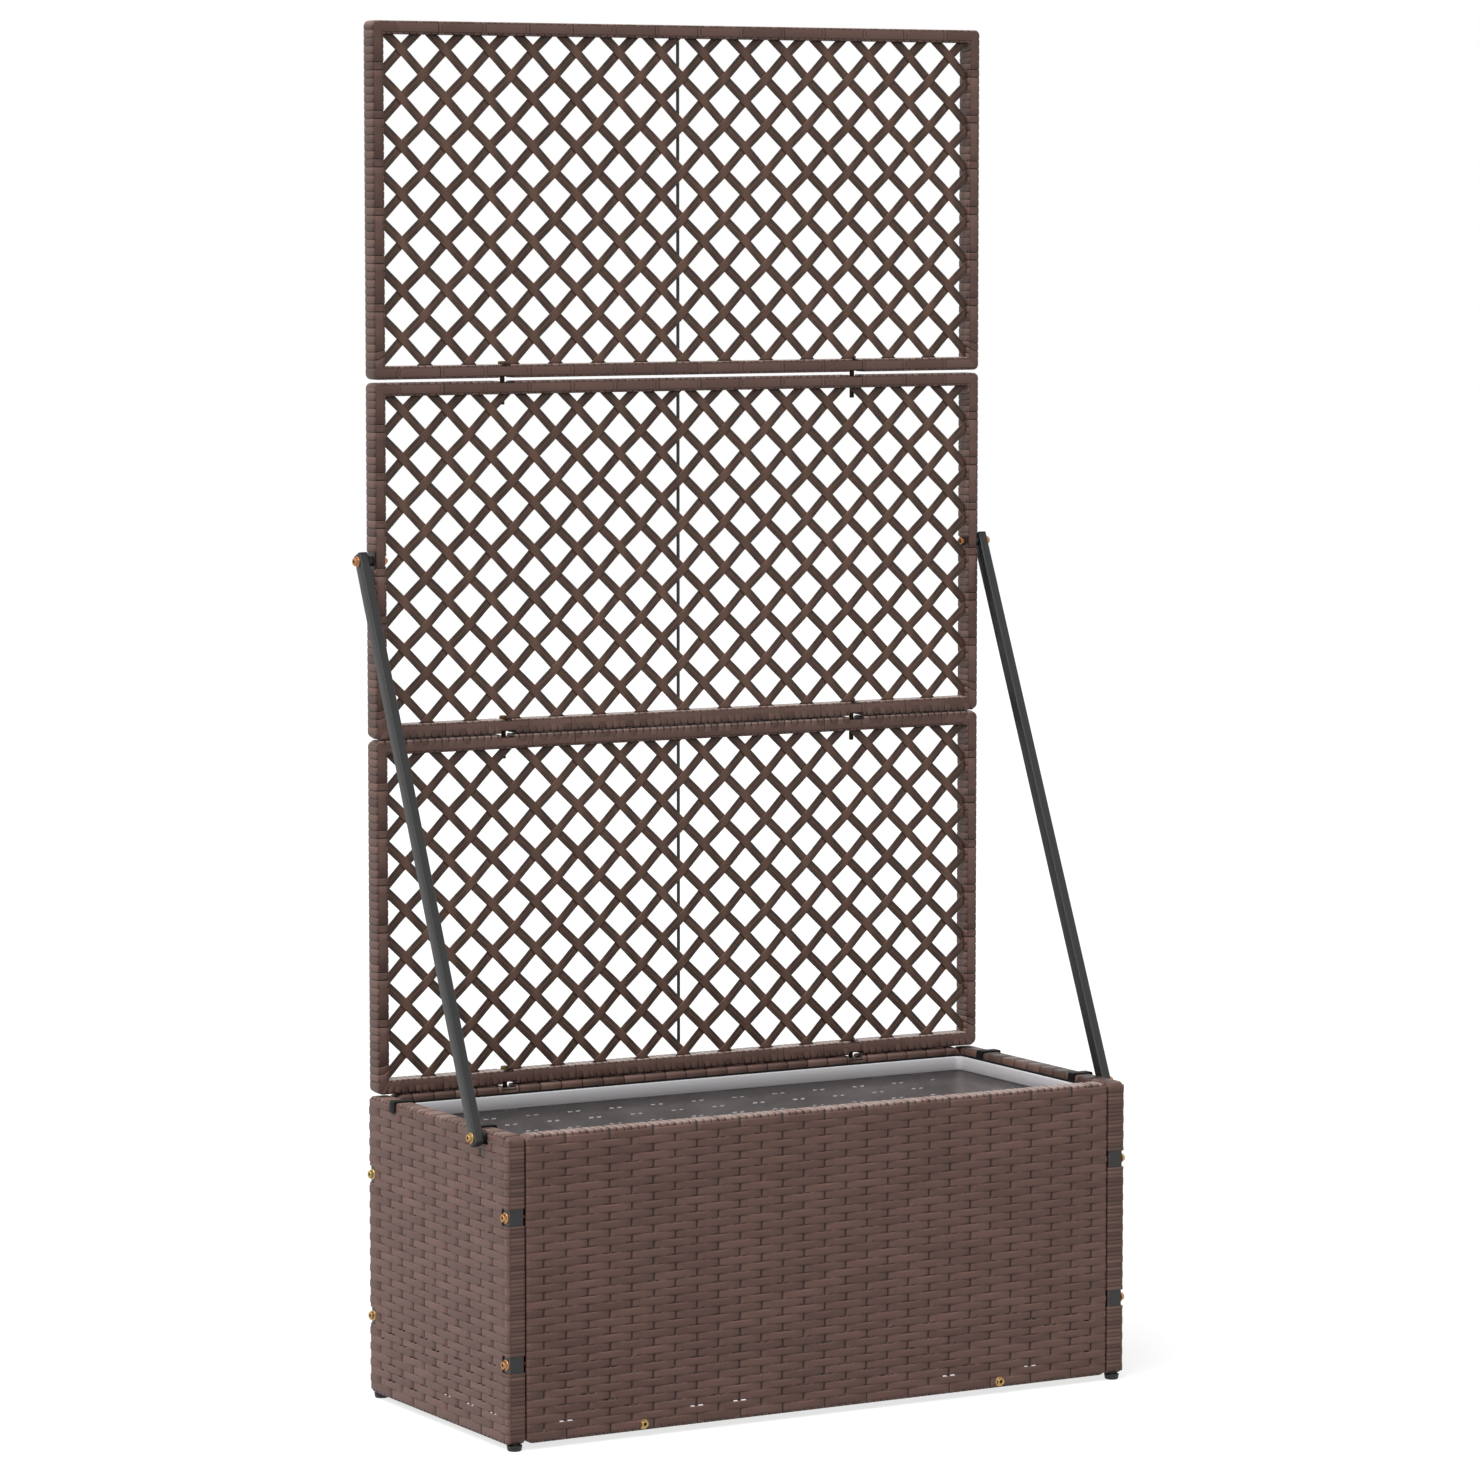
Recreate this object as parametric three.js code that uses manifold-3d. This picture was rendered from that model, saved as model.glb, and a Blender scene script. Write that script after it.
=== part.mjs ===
// Planter box with a three-panel trellis at its back.
//
// Four panels of powder-coated steel tube, each wound and woven over with flat plastic
// strip, are bolted together at the corners into a box that stands on four foot plugs.
// Two bent flat bars under the box carry the liner, which hangs in a steel hoop with
// four hooks over the side panels and lifts straight out. Three lattice panels stand on
// the back panel, one bolted on the next, and a slanting strut on each side steadies them.
//
// Millimetres, +Z up, -Y is the front. The origin is the middle of the footprint, on the floor.

import * as THREE from 'three';
import { mergeVertices } from 'three/addons/utils/BufferGeometryUtils.js';
import Module from 'manifold-3d';

const wasm = await Module();
wasm.setup();

// ---------------------------------------------------------------- driving dimensions

// the box
const box_width = 840;
const box_depth = 358;
const foot_height = 7;
const panel_height = 357;
const panel_gap = 1;
const panel_corner = 9;

// the tube that every panel frame is welded from, and the strip wound round it
const tube_depth = 20;
const tube_face = 13;
const tube_wall = 1.2;
const tube_edge = 2;
const wrap = 1.2;
const wrap_gap = 0.3;

// the woven sheet on the outside of the box panels
const sheet = 2.4;
const course_count = 37;
const course_rise = 0.7;
const course_depth = 0.6;

// the trellis
const trellis_inset = 2;
const trellis_panel_height = 419;
const trellis_gap = 3.5;
const trellis_corner = 7;
const leader_width = 11.5;
const leader_rise = 0.5;
const lattice_columns = 14;
const lattice_pitch_x = 58;
const lattice_rows = 7;
const lattice_pitch_z = 56.3;
const lattice_first_row = 34;
const strip_width = 11;
const strip_thickness = 2.2;
const strip_setback = 3.9;
const strip_gap = 0.3;
const rod_diameter = 4;
const rod_x = -4;

// struts
const strut_width = 16;
const strut_thickness = 12;
const strut_wall = 1.2;
const strut_edge = 2;
const strut_standoff = 2.8;
const strut_end = 7.5;
const strut_foot_setback = 60;
const strut_window = 24;
const spacer_diameter = 12;
const cap_flange = 1.6;
const cap_plug = 3;

// bolts: M6 with a domed hexagon head on a round flange
const bolt_diameter = 6;
const bolt_clearance = 0.5;
const bolt_flange_diameter = 13;
const bolt_flange = 1.3;
const bolt_head_diameter = 10;
const bolt_head = 3.7;
const nut_diameter = 10.5;
const nut_height = 5;
const bolt_tail = 2;
const side_bolt_length = 35;
const side_bolt_heights = [93, 263];
const side_bolt_window = 20;
const trellis_bolt_x = 242;
const trellis_bolt_setback = 13;
const trellis_bolt_tail = 12.5;
const trellis_bolt_window = 20;

// feet
const foot_top_diameter = 18;
const foot_bottom_diameter = 16;
const foot_stem_diameter = 8;
const foot_stem_length = 5;

// bars under the liner
const bar_x = 243;
const bar_width = 25;
const bar_thickness = 3;
const bar_rise = 1;

// liner and the hoop that it hangs in
const hoop_clearance = 2;
const hoop_thickness = 2.5;
const hoop_height = 15;
const hoop_drop = 7;
const hoop_corner = 14;
const hook_width = 13;
const hook_thickness = 1.6;
const hook_leg = 12;
const hook_front_setback = 81;
const hook_back_setback = 68;
const liner_wall = 1.2;
const hem_thickness = 3;
const hem_height = 17;
const hem_drop = 2;
const liner_foot_radius = 8;

// clearance between pieces that rest on each other
const seat = 0.3;

// ---------------------------------------------------------------- derived sizes

const cover = wrap + wrap_gap;
const band = tube_face + 2 * cover;
const core = tube_depth + 2 * cover;
const crest = core / 2 + course_rise;
const panel_thickness = core + course_rise;
const box_top = foot_height + panel_height;
const side_x = box_width / 2 - crest;
const front_y = box_depth / 2 - crest;
const front_width = box_width - 2 * panel_thickness - 2 * panel_gap;
const inside_x = box_width / 2 - panel_thickness;
const inside_y = box_depth / 2 - panel_thickness;
const side_bolt_y = box_depth / 2 - band / 2;
const trellis_width = box_width - 2 * trellis_inset;
const trellis_y = box_depth / 2 - core / 2;
const trellis_bolt_z = core / 2 - trellis_bolt_setback;
const trellis_pitch = trellis_panel_height + trellis_gap;
const bolt_hole = bolt_diameter + 2 * bolt_clearance;
const round_sides = 12;
const hole_sides = 6;
const flange_sides = 8;

// ---------------------------------------------------------------- colours

const colours = {
  strip: new THREE.MeshStandardMaterial({ color: 0x6a544c, roughness: 0.6, metalness: 0 }),
  steel: new THREE.MeshStandardMaterial({ color: 0x3c3c3d, roughness: 0.5, metalness: 0.3 }),
  bolt: new THREE.MeshStandardMaterial({ color: 0xb48a52, roughness: 0.35, metalness: 0.9 }),
  plastic: new THREE.MeshStandardMaterial({ color: 0x1b1a1b, roughness: 0.6, metalness: 0 }),
  liner: new THREE.MeshStandardMaterial({ color: 0x9c9898, roughness: 0.45, metalness: 0 }),
};

// ---------------------------------------------------------------- solids

// A closed three.js geometry becomes a solid that can be cut and joined.
function solid(geometry) {
  geometry.deleteAttribute('normal');
  geometry.deleteAttribute('uv');
  const merged = mergeVertices(geometry, 1e-4);
  return new wasm.Manifold(new wasm.Mesh({
    numProp: 3,
    vertProperties: new Float32Array(merged.attributes.position.array),
    triVerts: new Uint32Array(merged.index.array),
  }));
}

// A finished solid becomes a named mesh.
function piece(name, shape, material) {
  const mesh = shape.getMesh();
  const geometry = new THREE.BufferGeometry();
  geometry.setAttribute('position', new THREE.BufferAttribute(mesh.vertProperties, 3));
  geometry.setIndex(new THREE.BufferAttribute(mesh.triVerts, 1));
  geometry.computeVertexNormals();
  const result = new THREE.Mesh(geometry, material);
  result.name = name;
  return result;
}

// Crumbs that a cut leaves beside the piece itself are swept away.
function largest(shape) {
  const parts = shape.decompose();
  return parts.reduce((best, next) => (next.volume() > best.volume() ? next : best));
}

function box(x0, x1, y0, y1, z0, z1) {
  const geometry = new THREE.BoxGeometry(x1 - x0, y1 - y0, z1 - z0);
  geometry.translate((x0 + x1) / 2, (y0 + y1) / 2, (z0 + z1) / 2);
  return solid(geometry);
}

// A round bar from start, along one axis, and as long as asked.
function rod(diameter, length, axis, x, y, z, sides = hole_sides) {
  const geometry = new THREE.CylinderGeometry(diameter / 2, diameter / 2, length, sides);
  geometry.translate(0, length / 2, 0);
  if (axis === 'x') geometry.rotateZ(-Math.PI / 2);
  if (axis === 'z') geometry.rotateX(Math.PI / 2);
  geometry.translate(x, y, z);
  return solid(geometry);
}

// A rectangle centred on x, from y0 to y1. Its corners are round where they have a radius.
function rounded(path, width, y0, y1, r) {
  const x = width / 2;
  const corners = [[x, y1, 1, 1, 0], [-x, y1, -1, 1, 0.5], [-x, y0, -1, -1, 1], [x, y0, 1, -1, 1.5]];
  if (r <= 0) {
    path.moveTo(x, y0);
    corners.slice(0, 3).forEach(([cx, cy]) => path.lineTo(cx, cy));
    return path;
  }
  path.moveTo(x, y0 + r);
  corners.forEach(([cx, cy, sx, sy, from]) => {
    path.absarc(cx - sx * r, cy - sy * r, r, from * Math.PI, (from + 0.5) * Math.PI);
  });
  return path;
}

// A flat shape given thickness from z0 to z1, its edges rounded off where asked.
function extruded(shape, z0, z1, edge = 0, steps = 1, curve = 1) {
  const geometry = new THREE.ExtrudeGeometry(shape, {
    depth: z1 - z0 - 2 * edge,
    curveSegments: curve,
    bevelEnabled: edge > 0,
    bevelThickness: edge,
    bevelSize: edge,
    bevelOffset: -edge,
    bevelSegments: steps,
  });
  geometry.translate(0, 0, z0 + edge);
  return solid(geometry);
}

// A closed frame seen from the front: the outer rectangle less the inner one, inset evenly.
function loop(width, height, inset, face, corner) {
  const shape = rounded(new THREE.Shape(), width - 2 * inset, inset, height - inset, corner - inset);
  const hole = inset + face;
  shape.holes.push(rounded(new THREE.Path(), width - 2 * hole, hole, height - hole, 0));
  return shape;
}

// A piece turned on the lathe about z: the outline climbs from the axis back to the axis.
function turned(outline, sides = round_sides) {
  const points = outline.map(([r, z]) => new THREE.Vector2(r, z));
  const geometry = new THREE.LatheGeometry(points, sides);
  geometry.rotateX(Math.PI / 2);
  return solid(geometry);
}

// ---------------------------------------------------------------- panels

// In a panel's own frame x runs along it, y up it from its bottom edge and z out of its face.

// The welded tube frame. Holes open its hollow.
function tubeFrame(width, height, corner, holes) {
  const outside = loop(width, height, cover, tube_face, corner);
  const inset = cover + tube_wall;
  const inside = loop(width, height, inset, tube_face - 2 * tube_wall, corner);
  const reach = tube_depth / 2;
  const tube = extruded(outside, -reach, reach, tube_edge);
  const hollow = extruded(inside, tube_wall - reach, reach - tube_wall);
  return holes.reduce((shape, hole) => shape.subtract(hole), tube.subtract(hollow));
}

// The room that the tube frame takes inside its winding.
function tubeRoom(width, height, corner) {
  const shape = loop(width, height, wrap, tube_face + 2 * wrap_gap, corner);
  const reach = tube_depth / 2 + wrap_gap;
  return extruded(shape, -reach, reach, tube_edge);
}

// The strip wound round the four tubes, as one sleeve.
function winding(width, height, corner) {
  const shape = loop(width, height, 0, band, corner);
  return extruded(shape, -core / 2, core / 2, tube_edge + cover);
}

// The woven sheet on the outer face: level courses of strip, each a low ridge.
function courses(width, height) {
  const edge = tube_edge + cover;
  const pitch = (height - 2 * edge) / course_count;
  const low = crest - course_depth;
  const outline = new THREE.Shape();
  outline.moveTo(crest - sheet, edge);
  outline.lineTo(low, edge);
  for (let row = 0; row < course_count; row += 1) {
    const y = edge + row * pitch;
    outline.lineTo(crest, y + pitch / 2);
    outline.lineTo(low, y + pitch);
  }
  outline.lineTo(crest - sheet, height - edge);
  const length = width - 2 * edge;
  const geometry = new THREE.ExtrudeGeometry(outline, { depth: length, bevelEnabled: false });
  geometry.rotateY(-Math.PI / 2);
  geometry.translate(length / 2, 0, 0);
  return solid(geometry);
}

// The weave of one box panel: winding and sheet in one skin, with its cut-outs.
function boxWeave(width, cuts) {
  const skin = winding(width, panel_height, panel_corner).add(courses(width, panel_height));
  const room = tubeRoom(width, panel_height, panel_corner);
  return cuts.reduce((shape, cut) => shape.subtract(cut), skin.subtract(room));
}

// ---------------------------------------------------------------- box panels

const both = [-1, 1];

// Panels face outwards: each stands in a group that turns its frame into the planter's.
function standing(x, y, z, turn) {
  const group = new THREE.Group();
  group.rotation.set(Math.PI / 2, 0, turn, 'ZYX');
  group.position.set(x, y, z);
  return group;
}

function cutBox(x, half, y0, y1, z0, z1) {
  return box(x - half, x + half, y0, y1, z0, z1);
}

// A side panel. Its strut is bolted through the top rail at strut_x.
function sidePanel(name, strut_x, group) {
  const width = box_depth;
  const holes = [];
  const cuts = [];
  const rail_y = panel_height - band / 2;
  const stem = foot_stem_diameter + 2 * bolt_clearance;
  both.forEach((side) => {
    const x = side * side_bolt_y;
    side_bolt_heights.forEach((y) => {
      holes.push(rod(bolt_hole, 2 * core, 'z', x, y, -core));
      const half = side_bolt_window / 2;
      cuts.push(cutBox(x, band / 2 + 0.01, y - half, y + half, -core, core));
    });
    const plug = rod(stem, foot_stem_length + seat, 'y', x, 0, 0, round_sides);
    holes.push(plug);
    cuts.push(plug);
  });
  const bolt_way = rod(bolt_hole, 2 * core, 'z', strut_x, rail_y, -core);
  holes.push(bolt_way);
  const half = strut_window / 2;
  cuts.push(cutBox(strut_x, half, panel_height - band, panel_height - cover, tube_depth / 2, core));
  group.add(piece(`${name}_side_frame`, tubeFrame(width, panel_height, panel_corner, holes), colours.steel));
  group.add(piece(`${name}_side_weave`, boxWeave(width, cuts), colours.strip));
}

// The front and back panels stand between the side panels. The trellis is bolted on the back one.
function endPanel(name, carries_trellis, group) {
  const width = front_width;
  const holes = [];
  const cuts = [];
  const bolt_z = side_bolt_y - front_y;
  both.forEach((side) => {
    const end = side * width / 2;
    const inner = side * (width / 2 - cover);
    const past = end + side;
    side_bolt_heights.forEach((y) => {
      const start = Math.min(past, past - side * (cover + tube_wall + 2));
      holes.push(rod(bolt_hole, cover + tube_wall + 2, 'x', start, y, bolt_z));
      const half = side_bolt_window / 2;
      const [x0, x1] = [Math.min(inner, past), Math.max(inner, past)];
      cuts.push(box(x0, x1, y - half, y + half, -core, core / 2 - sheet));
    });
    const bar = side * bar_x;
    holes.push(rod(bolt_hole, 2 * core, 'z', bar, band / 2, -core));
    const seat_half = bolt_flange_diameter / 2 + seat;
    cuts.push(cutBox(bar, bolt_hole / 2, (band - bolt_hole) / 2, (band + bolt_hole) / 2, -core, 0));
    cuts.push(cutBox(bar, seat_half, band / 2 - seat_half, band / 2 + seat_half, 0, core));
    if (carries_trellis) {
      const z = trellis_y - trellis_bolt_z - front_y;
      const x = side * trellis_bolt_x;
      const half = trellis_bolt_window / 2;
      holes.push(rod(bolt_hole, band + 2, 'y', x, panel_height - band - 1, z));
      cuts.push(cutBox(x, half, panel_height - cover, panel_height + 1, -core, core));
      const way = bolt_hole / 2;
      cuts.push(cutBox(x, way, panel_height - 1.5 * band, panel_height - band / 2, z - way, z + way));
    }
  });
  group.add(piece(`${name}_frame`, tubeFrame(width, panel_height, panel_corner, holes), colours.steel));
  group.add(piece(`${name}_weave`, boxWeave(width, cuts), colours.strip));
}

// ---------------------------------------------------------------- trellis panels

const opening_width = trellis_width - 2 * band;
const opening_height = trellis_panel_height - 2 * band;

// One layer of the lattice: level strips' worth of slanting planks, all leaning one way.
function latticeLayer(lean, z0) {
  const half_x = lattice_pitch_x / 2;
  const half_z = lattice_pitch_z / 2;
  const first_x = -(lattice_columns - 1) * half_x;
  const first_y = trellis_panel_height - lattice_first_row;
  const middle = trellis_panel_height / 2;
  const steps_down = (first_y - middle) / half_z;
  const angle = Math.atan2(-lean * half_z, half_x);
  const length = Math.hypot(opening_height, opening_height * half_x / half_z) + 4 * strip_width;
  const reach_x = opening_width / 2 + opening_height * half_x / half_z / 2 - strip_width;
  const planks = [];
  for (let k = -lattice_rows; k < lattice_columns + lattice_rows; k += 1) {
    const x = first_x + (2 * k + lean * steps_down) * half_x;
    if (Math.abs(x) > reach_x) continue;
    const plank = new THREE.BoxGeometry(length, strip_width, strip_thickness);
    plank.rotateZ(angle);
    plank.translate(x, middle, z0 + strip_thickness / 2);
    planks.push(solid(plank));
  }
  return planks;
}

// Both layers, cut to the opening and let into the winding round it.
function lattice() {
  const front = core / 2 - strip_setback - strip_thickness;
  const back = front - strip_gap - strip_thickness;
  const planks = [...latticeLayer(1, front), ...latticeLayer(-1, back)];
  const into = wrap / 2;
  const x = opening_width / 2 + into;
  const opening = box(-x, x, band - into, trellis_panel_height - band + into, -core, core);
  return planks.map((plank) => plank.intersect(opening));
}

// The flat strip laid round the front face, which the turns of winding tie down.
function leader() {
  const inset = (band - leader_width) / 2;
  const shape = loop(trellis_width, trellis_panel_height, inset, leader_width, trellis_corner + inset);
  return extruded(shape, core / 2 - wrap / 2, core / 2 + leader_rise);
}

// A trellis panel. Bolts stand through its bottom rail, and through its top rail too where
// another panel stands on it. A panel that the struts hold is bored through its uprights.
function trellisPanel(name, carries_another, holds_struts, group) {
  const height = trellis_panel_height;
  const holes = [];
  const cuts = [];
  const half = trellis_bolt_window / 2;
  const z = trellis_bolt_z;
  both.forEach((side) => {
    const x = side * trellis_bolt_x;
    holes.push(rod(bolt_hole, band + 2, 'y', x, -1, z));
    cuts.push(cutBox(x, half, -1, cover, -core, core));
    const clear = bolt_flange_diameter / 2 + seat;
    const head_top = band - cover + bolt_flange + bolt_head + 2 * seat;
    cuts.push(cutBox(x, clear, band - cover, head_top, z - clear, z + clear));
    if (carries_another) {
      holes.push(rod(bolt_hole, band + 2, 'y', x, height - band - 1, z));
      cuts.push(cutBox(x, half, height - cover, height + 1, -core, core));
      const way = bolt_hole / 2;
      const tail = height - band - trellis_bolt_tail - seat;
      cuts.push(cutBox(x, way, tail, height - band / 2, z - way, z + way));
    }
    if (holds_struts) {
      const inner = side * (trellis_width / 2 - band);
      const outer = side * (trellis_width / 2);
      const nut_room = nut_height + bolt_tail + 1;
      const start = Math.min(inner + side * cover, inner - side * nut_room);
      holes.push(rod(bolt_hole, 2 * band, 'x', Math.min(inner, outer) - band / 2, height / 2, 0));
      cuts.push(rod(nut_diameter + 1.5, nut_room + cover, 'x', start, height / 2, 0));
      const [x0, x1] = [Math.min(outer - side * cover, outer + side), Math.max(outer - side * cover, outer + side)];
      cuts.push(box(x0, x1, height / 2 - half, height / 2 + half, -half, half));
    }
  });
  const rod_z = latticeBack() - seat - rod_diameter / 2;
  cuts.push(rod(rod_diameter + 2 * bolt_clearance, height - 2 * cover, 'y', rod_x, cover, rod_z));
  const skin = lattice().reduce(
    (shape, plank) => shape.add(plank),
    winding(trellis_width, height, trellis_corner).add(leader()),
  );
  const room = tubeRoom(trellis_width, height, trellis_corner);
  const weave = largest(cuts.reduce((shape, cut) => shape.subtract(cut), skin.subtract(room)));
  const foot = cover + tube_face + seat / 2;
  const stay = rod(rod_diameter, height - 2 * foot, 'y', rod_x, foot, rod_z, round_sides);
  group.add(piece(`${name}_frame`, tubeFrame(trellis_width, height, trellis_corner, holes), colours.steel));
  group.add(piece(`${name}_weave`, weave, colours.strip));
  group.add(piece(`${name}_rod`, stay, colours.steel));
}

// The back face of the lattice, in a trellis panel's own frame.
function latticeBack() {
  return core / 2 - strip_setback - 2 * strip_thickness - strip_gap;
}

// ---------------------------------------------------------------- bolts

// A bolt along z: its flange is seated just above z = 0, its head is above and its shank
// below. A nut may close the end.
function bolt(length, nut_at = null) {
  const foot = seat / 2;
  const flat = foot + bolt_flange;
  const parts = [
    rod(bolt_diameter, length + flat, 'z', 0, 0, -length),
    rod(bolt_flange_diameter, bolt_flange, 'z', 0, 0, foot, flange_sides),
    rod(bolt_head_diameter, bolt_head + bolt_flange, 'z', 0, 0, foot, 6),
  ];
  if (nut_at !== null) parts.push(rod(nut_diameter, nut_height, 'z', 0, 0, -nut_at - nut_height, 6));
  return parts.reduce((shape, part) => shape.add(part));
}

// A bolt put in its place, its head turned towards +z, or by a turn about x or y.
function boltAt(name, shape, x, y, z, rx = 0, ry = 0) {
  const result = piece(name, shape, colours.bolt);
  result.position.set(x, y, z);
  result.rotation.set(rx, ry, 0);
  return result;
}

// ---------------------------------------------------------------- struts

const strut_foot_y = -(box_depth / 2 - strut_foot_setback);
const strut_foot_z = box_top - band / 2;
const strut_top_y = trellis_y;
const strut_top_z = box_top + trellis_gap + trellis_pitch + trellis_panel_height / 2;
const strut_span = Math.hypot(strut_top_y - strut_foot_y, strut_top_z - strut_foot_z);
const strut_lean = Math.atan2(strut_top_z - strut_foot_z, strut_top_y - strut_foot_y);
const strut_inner_x = box_width / 2 + strut_standoff;
const strut_outer_x = strut_inner_x + strut_thickness;

// A length of the strut's section, from y0 to y1 along it, drawn in by inset on every side.
function strutLength(y0, y1, inset, radius) {
  const half = strut_width / 2 - inset;
  const shape = rounded(new THREE.Shape(), strut_thickness - 2 * inset, -half, half, radius);
  return extruded(shape, -y1, -y0).rotate([90, 0, 0]);
}

// The square tube, bored for its two bolts. y = 0 is the lower bolt.
function strutTube() {
  const reach = strut_thickness;
  const tube = strutLength(-strut_end, strut_span + strut_end, 0, strut_edge);
  const hollow = strutLength(-strut_end - 1, strut_span + strut_end + 1, strut_wall, 0);
  return [0, strut_span].reduce(
    (shape, y) => shape.subtract(rod(bolt_hole, 2 * reach, 'x', -reach, y, 0)),
    tube.subtract(hollow),
  );
}

// A plastic cap in the end of the tube: a plug inside and a flange over the cut edge.
function strutCap() {
  const flange = strutLength(-seat - cap_flange, -seat, 0, strut_edge);
  return flange.add(strutLength(-seat - cap_flange / 2, cap_plug, strut_wall + seat, 0));
}

// The spacer on a strut bolt, from the bare tube of the panel to the strut.
function spacer(length) {
  const ring = rod(spacer_diameter, length - seat, 'x', seat / 2, 0, 0, round_sides);
  return ring.subtract(rod(bolt_hole, 2 * length, 'x', -length / 2, 0, 0));
}

function strut(name, side) {
  const x = side * (strut_inner_x + strut_thickness / 2);
  const group = new THREE.Group();
  group.position.set(x, strut_foot_y, strut_foot_z);
  group.rotation.x = strut_lean;
  group.add(piece(`${name}_strut`, strutTube(), colours.steel));
  const lower = piece(`${name}_strut_lower_cap`, strutCap(), colours.plastic);
  lower.position.y = -strut_end;
  const upper = piece(`${name}_strut_upper_cap`, strutCap(), colours.plastic);
  upper.position.y = strut_span + strut_end;
  upper.rotation.z = Math.PI;
  group.add(lower, upper);
  planter.add(group);

  const turn = side * Math.PI / 2;
  const head_x = side * strut_outer_x;
  const side_tube = side_x + tube_depth / 2;
  const trellis_tube = trellis_width / 2 - cover;
  const foot_bolt = bolt(strut_outer_x - side_tube + tube_depth - tube_wall);
  const nut_at = strut_outer_x - trellis_tube + tube_face + seat / 2;
  const top_bolt = bolt(nut_at + nut_height + bolt_tail, nut_at);
  planter.add(boltAt(`${name}_strut_foot_bolt`, foot_bolt, head_x, strut_foot_y, strut_foot_z, 0, turn));
  planter.add(boltAt(`${name}_strut_top_bolt`, top_bolt, head_x, strut_top_y, strut_top_z, 0, turn));

  const seats = [['foot', side_tube, strut_foot_y, strut_foot_z], ['top', trellis_tube, strut_top_y, strut_top_z]];
  seats.forEach(([end, tube_x, y, z]) => {
    const ring = piece(`${name}_strut_${end}_spacer`, spacer(strut_inner_x - tube_x), colours.plastic);
    ring.position.set(side * tube_x, y, z);
    ring.rotation.z = side > 0 ? 0 : Math.PI;
    planter.add(ring);
  });
}

// ---------------------------------------------------------------- what stands and hangs

// A foot: a tapered glide under the corner of a side panel, its stem pushed up into the tube.
function foot() {
  const low = foot_bottom_diameter / 2;
  const high = foot_height - seat;
  const stem = foot_stem_diameter / 2;
  const end = foot_height + foot_stem_length;
  return turned([[0, 0], [low, 0], [foot_top_diameter / 2, high], [stem, high], [stem, end], [0, end]]);
}

// A bar under the liner: flat steel with both ends bent down against the bottom rails.
function bar() {
  const y = inside_y - seat;
  const top = foot_height + band + bar_rise;
  const low = foot_height + 2;
  const t = bar_thickness;
  const outline = new THREE.Shape();
  outline.moveTo(-y, low);
  outline.lineTo(-y + t, low);
  outline.lineTo(-y + t, top - t);
  outline.lineTo(y - t, top - t);
  outline.lineTo(y - t, low);
  outline.lineTo(y, low);
  outline.lineTo(y, top - t);
  outline.absarc(y - t, top - t, t, 0, Math.PI / 2);
  outline.lineTo(-y + t, top);
  outline.absarc(-y + t, top - t, t, Math.PI / 2, Math.PI);
  const flat = extruded(outline, -bar_width / 2, bar_width / 2, 0, 0, 2);
  const hole = rod(bolt_hole, 4 * y, 'y', 0, -2 * y, foot_height + band / 2);
  return flat.rotate([90, 0, 0]).rotate([0, 0, 90]).subtract(hole);
}

const hoop_x = inside_x - hoop_clearance;
const hoop_y = inside_y - hoop_clearance;
const hoop_top = box_top - hoop_drop;
const hook_front_y = -(box_depth / 2 - hook_front_setback);
const hook_back_y = box_depth / 2 - hook_back_setback;

// One hook: from the hoop up, over the side panel's top rail and down outside it.
function hook(side, y) {
  const low_inside = hoop_top - hoop_height / 2;
  const under = box_top + seat;
  const over = under + hook_thickness;
  const x0 = hoop_x - seat;
  const x1 = x0 + hook_thickness;
  const x2 = box_width / 2 + seat + 0.1;
  const x3 = x2 + hook_thickness;
  const r = hook_thickness;
  const outline = new THREE.Shape();
  outline.moveTo(x0, low_inside);
  outline.lineTo(x1, low_inside);
  outline.lineTo(x1, under);
  outline.lineTo(x2, under);
  outline.lineTo(x2, box_top - hook_leg);
  outline.lineTo(x3, box_top - hook_leg);
  outline.lineTo(x3, over - r);
  outline.absarc(x3 - r, over - r, r, 0, Math.PI / 2);
  outline.lineTo(x0 + r, over);
  outline.absarc(x0 + r, over - r, r, Math.PI / 2, Math.PI);
  const shape = extruded(outline, -hook_width / 2, hook_width / 2).rotate([90, 0, 0]);
  return (side > 0 ? shape : shape.rotate([0, 0, 180])).translate([0, y, 0]);
}

// The hoop: flat bar on edge round the inside of the box, with four hooks welded to it.
function hoop() {
  const outline = rounded(new THREE.Shape(), 2 * hoop_x, -hoop_y, hoop_y, hoop_corner);
  const y = hoop_y - hoop_thickness;
  const x = hoop_x - hoop_thickness;
  outline.holes.push(rounded(new THREE.Path(), 2 * x, -y, y, hoop_corner - hoop_thickness));
  const ring = extruded(outline, hoop_top - hoop_height, hoop_top, 0, 0, 2);
  const hooks = both.flatMap((side) => [hook(side, hook_front_y), hook(side, hook_back_y)]);
  return hooks.reduce((shape, next) => shape.add(next), ring);
}

// A block with round corners and a rounded floor, open to any height above.
function tub(inset, floor, top, radius) {
  const x = hoop_x - hoop_thickness - seat - inset;
  const y = hoop_y - hoop_thickness - seat - inset;
  const outline = rounded(new THREE.Shape(), 2 * x, -y, y, hoop_corner - hoop_thickness - inset);
  const block = extruded(outline, floor, top + radius, radius, 2, 2);
  return block.intersect(box(-2 * x, 2 * x, -2 * y, 2 * y, floor - 1, top));
}

// The liner: a tub of thin sheet with a doubled hem, hung inside the hoop.
function liner() {
  const floor = foot_height + band + bar_rise + seat;
  const top = hoop_top - hem_drop;
  const r = liner_foot_radius;
  return tub(0, floor, top, r)
    .subtract(tub(liner_wall, floor + liner_wall, top - hem_height, r))
    .subtract(tub(hem_thickness, top - hem_height - r, top + 1, r));
}

// ---------------------------------------------------------------- the planter

const planter = new THREE.Group();

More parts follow.
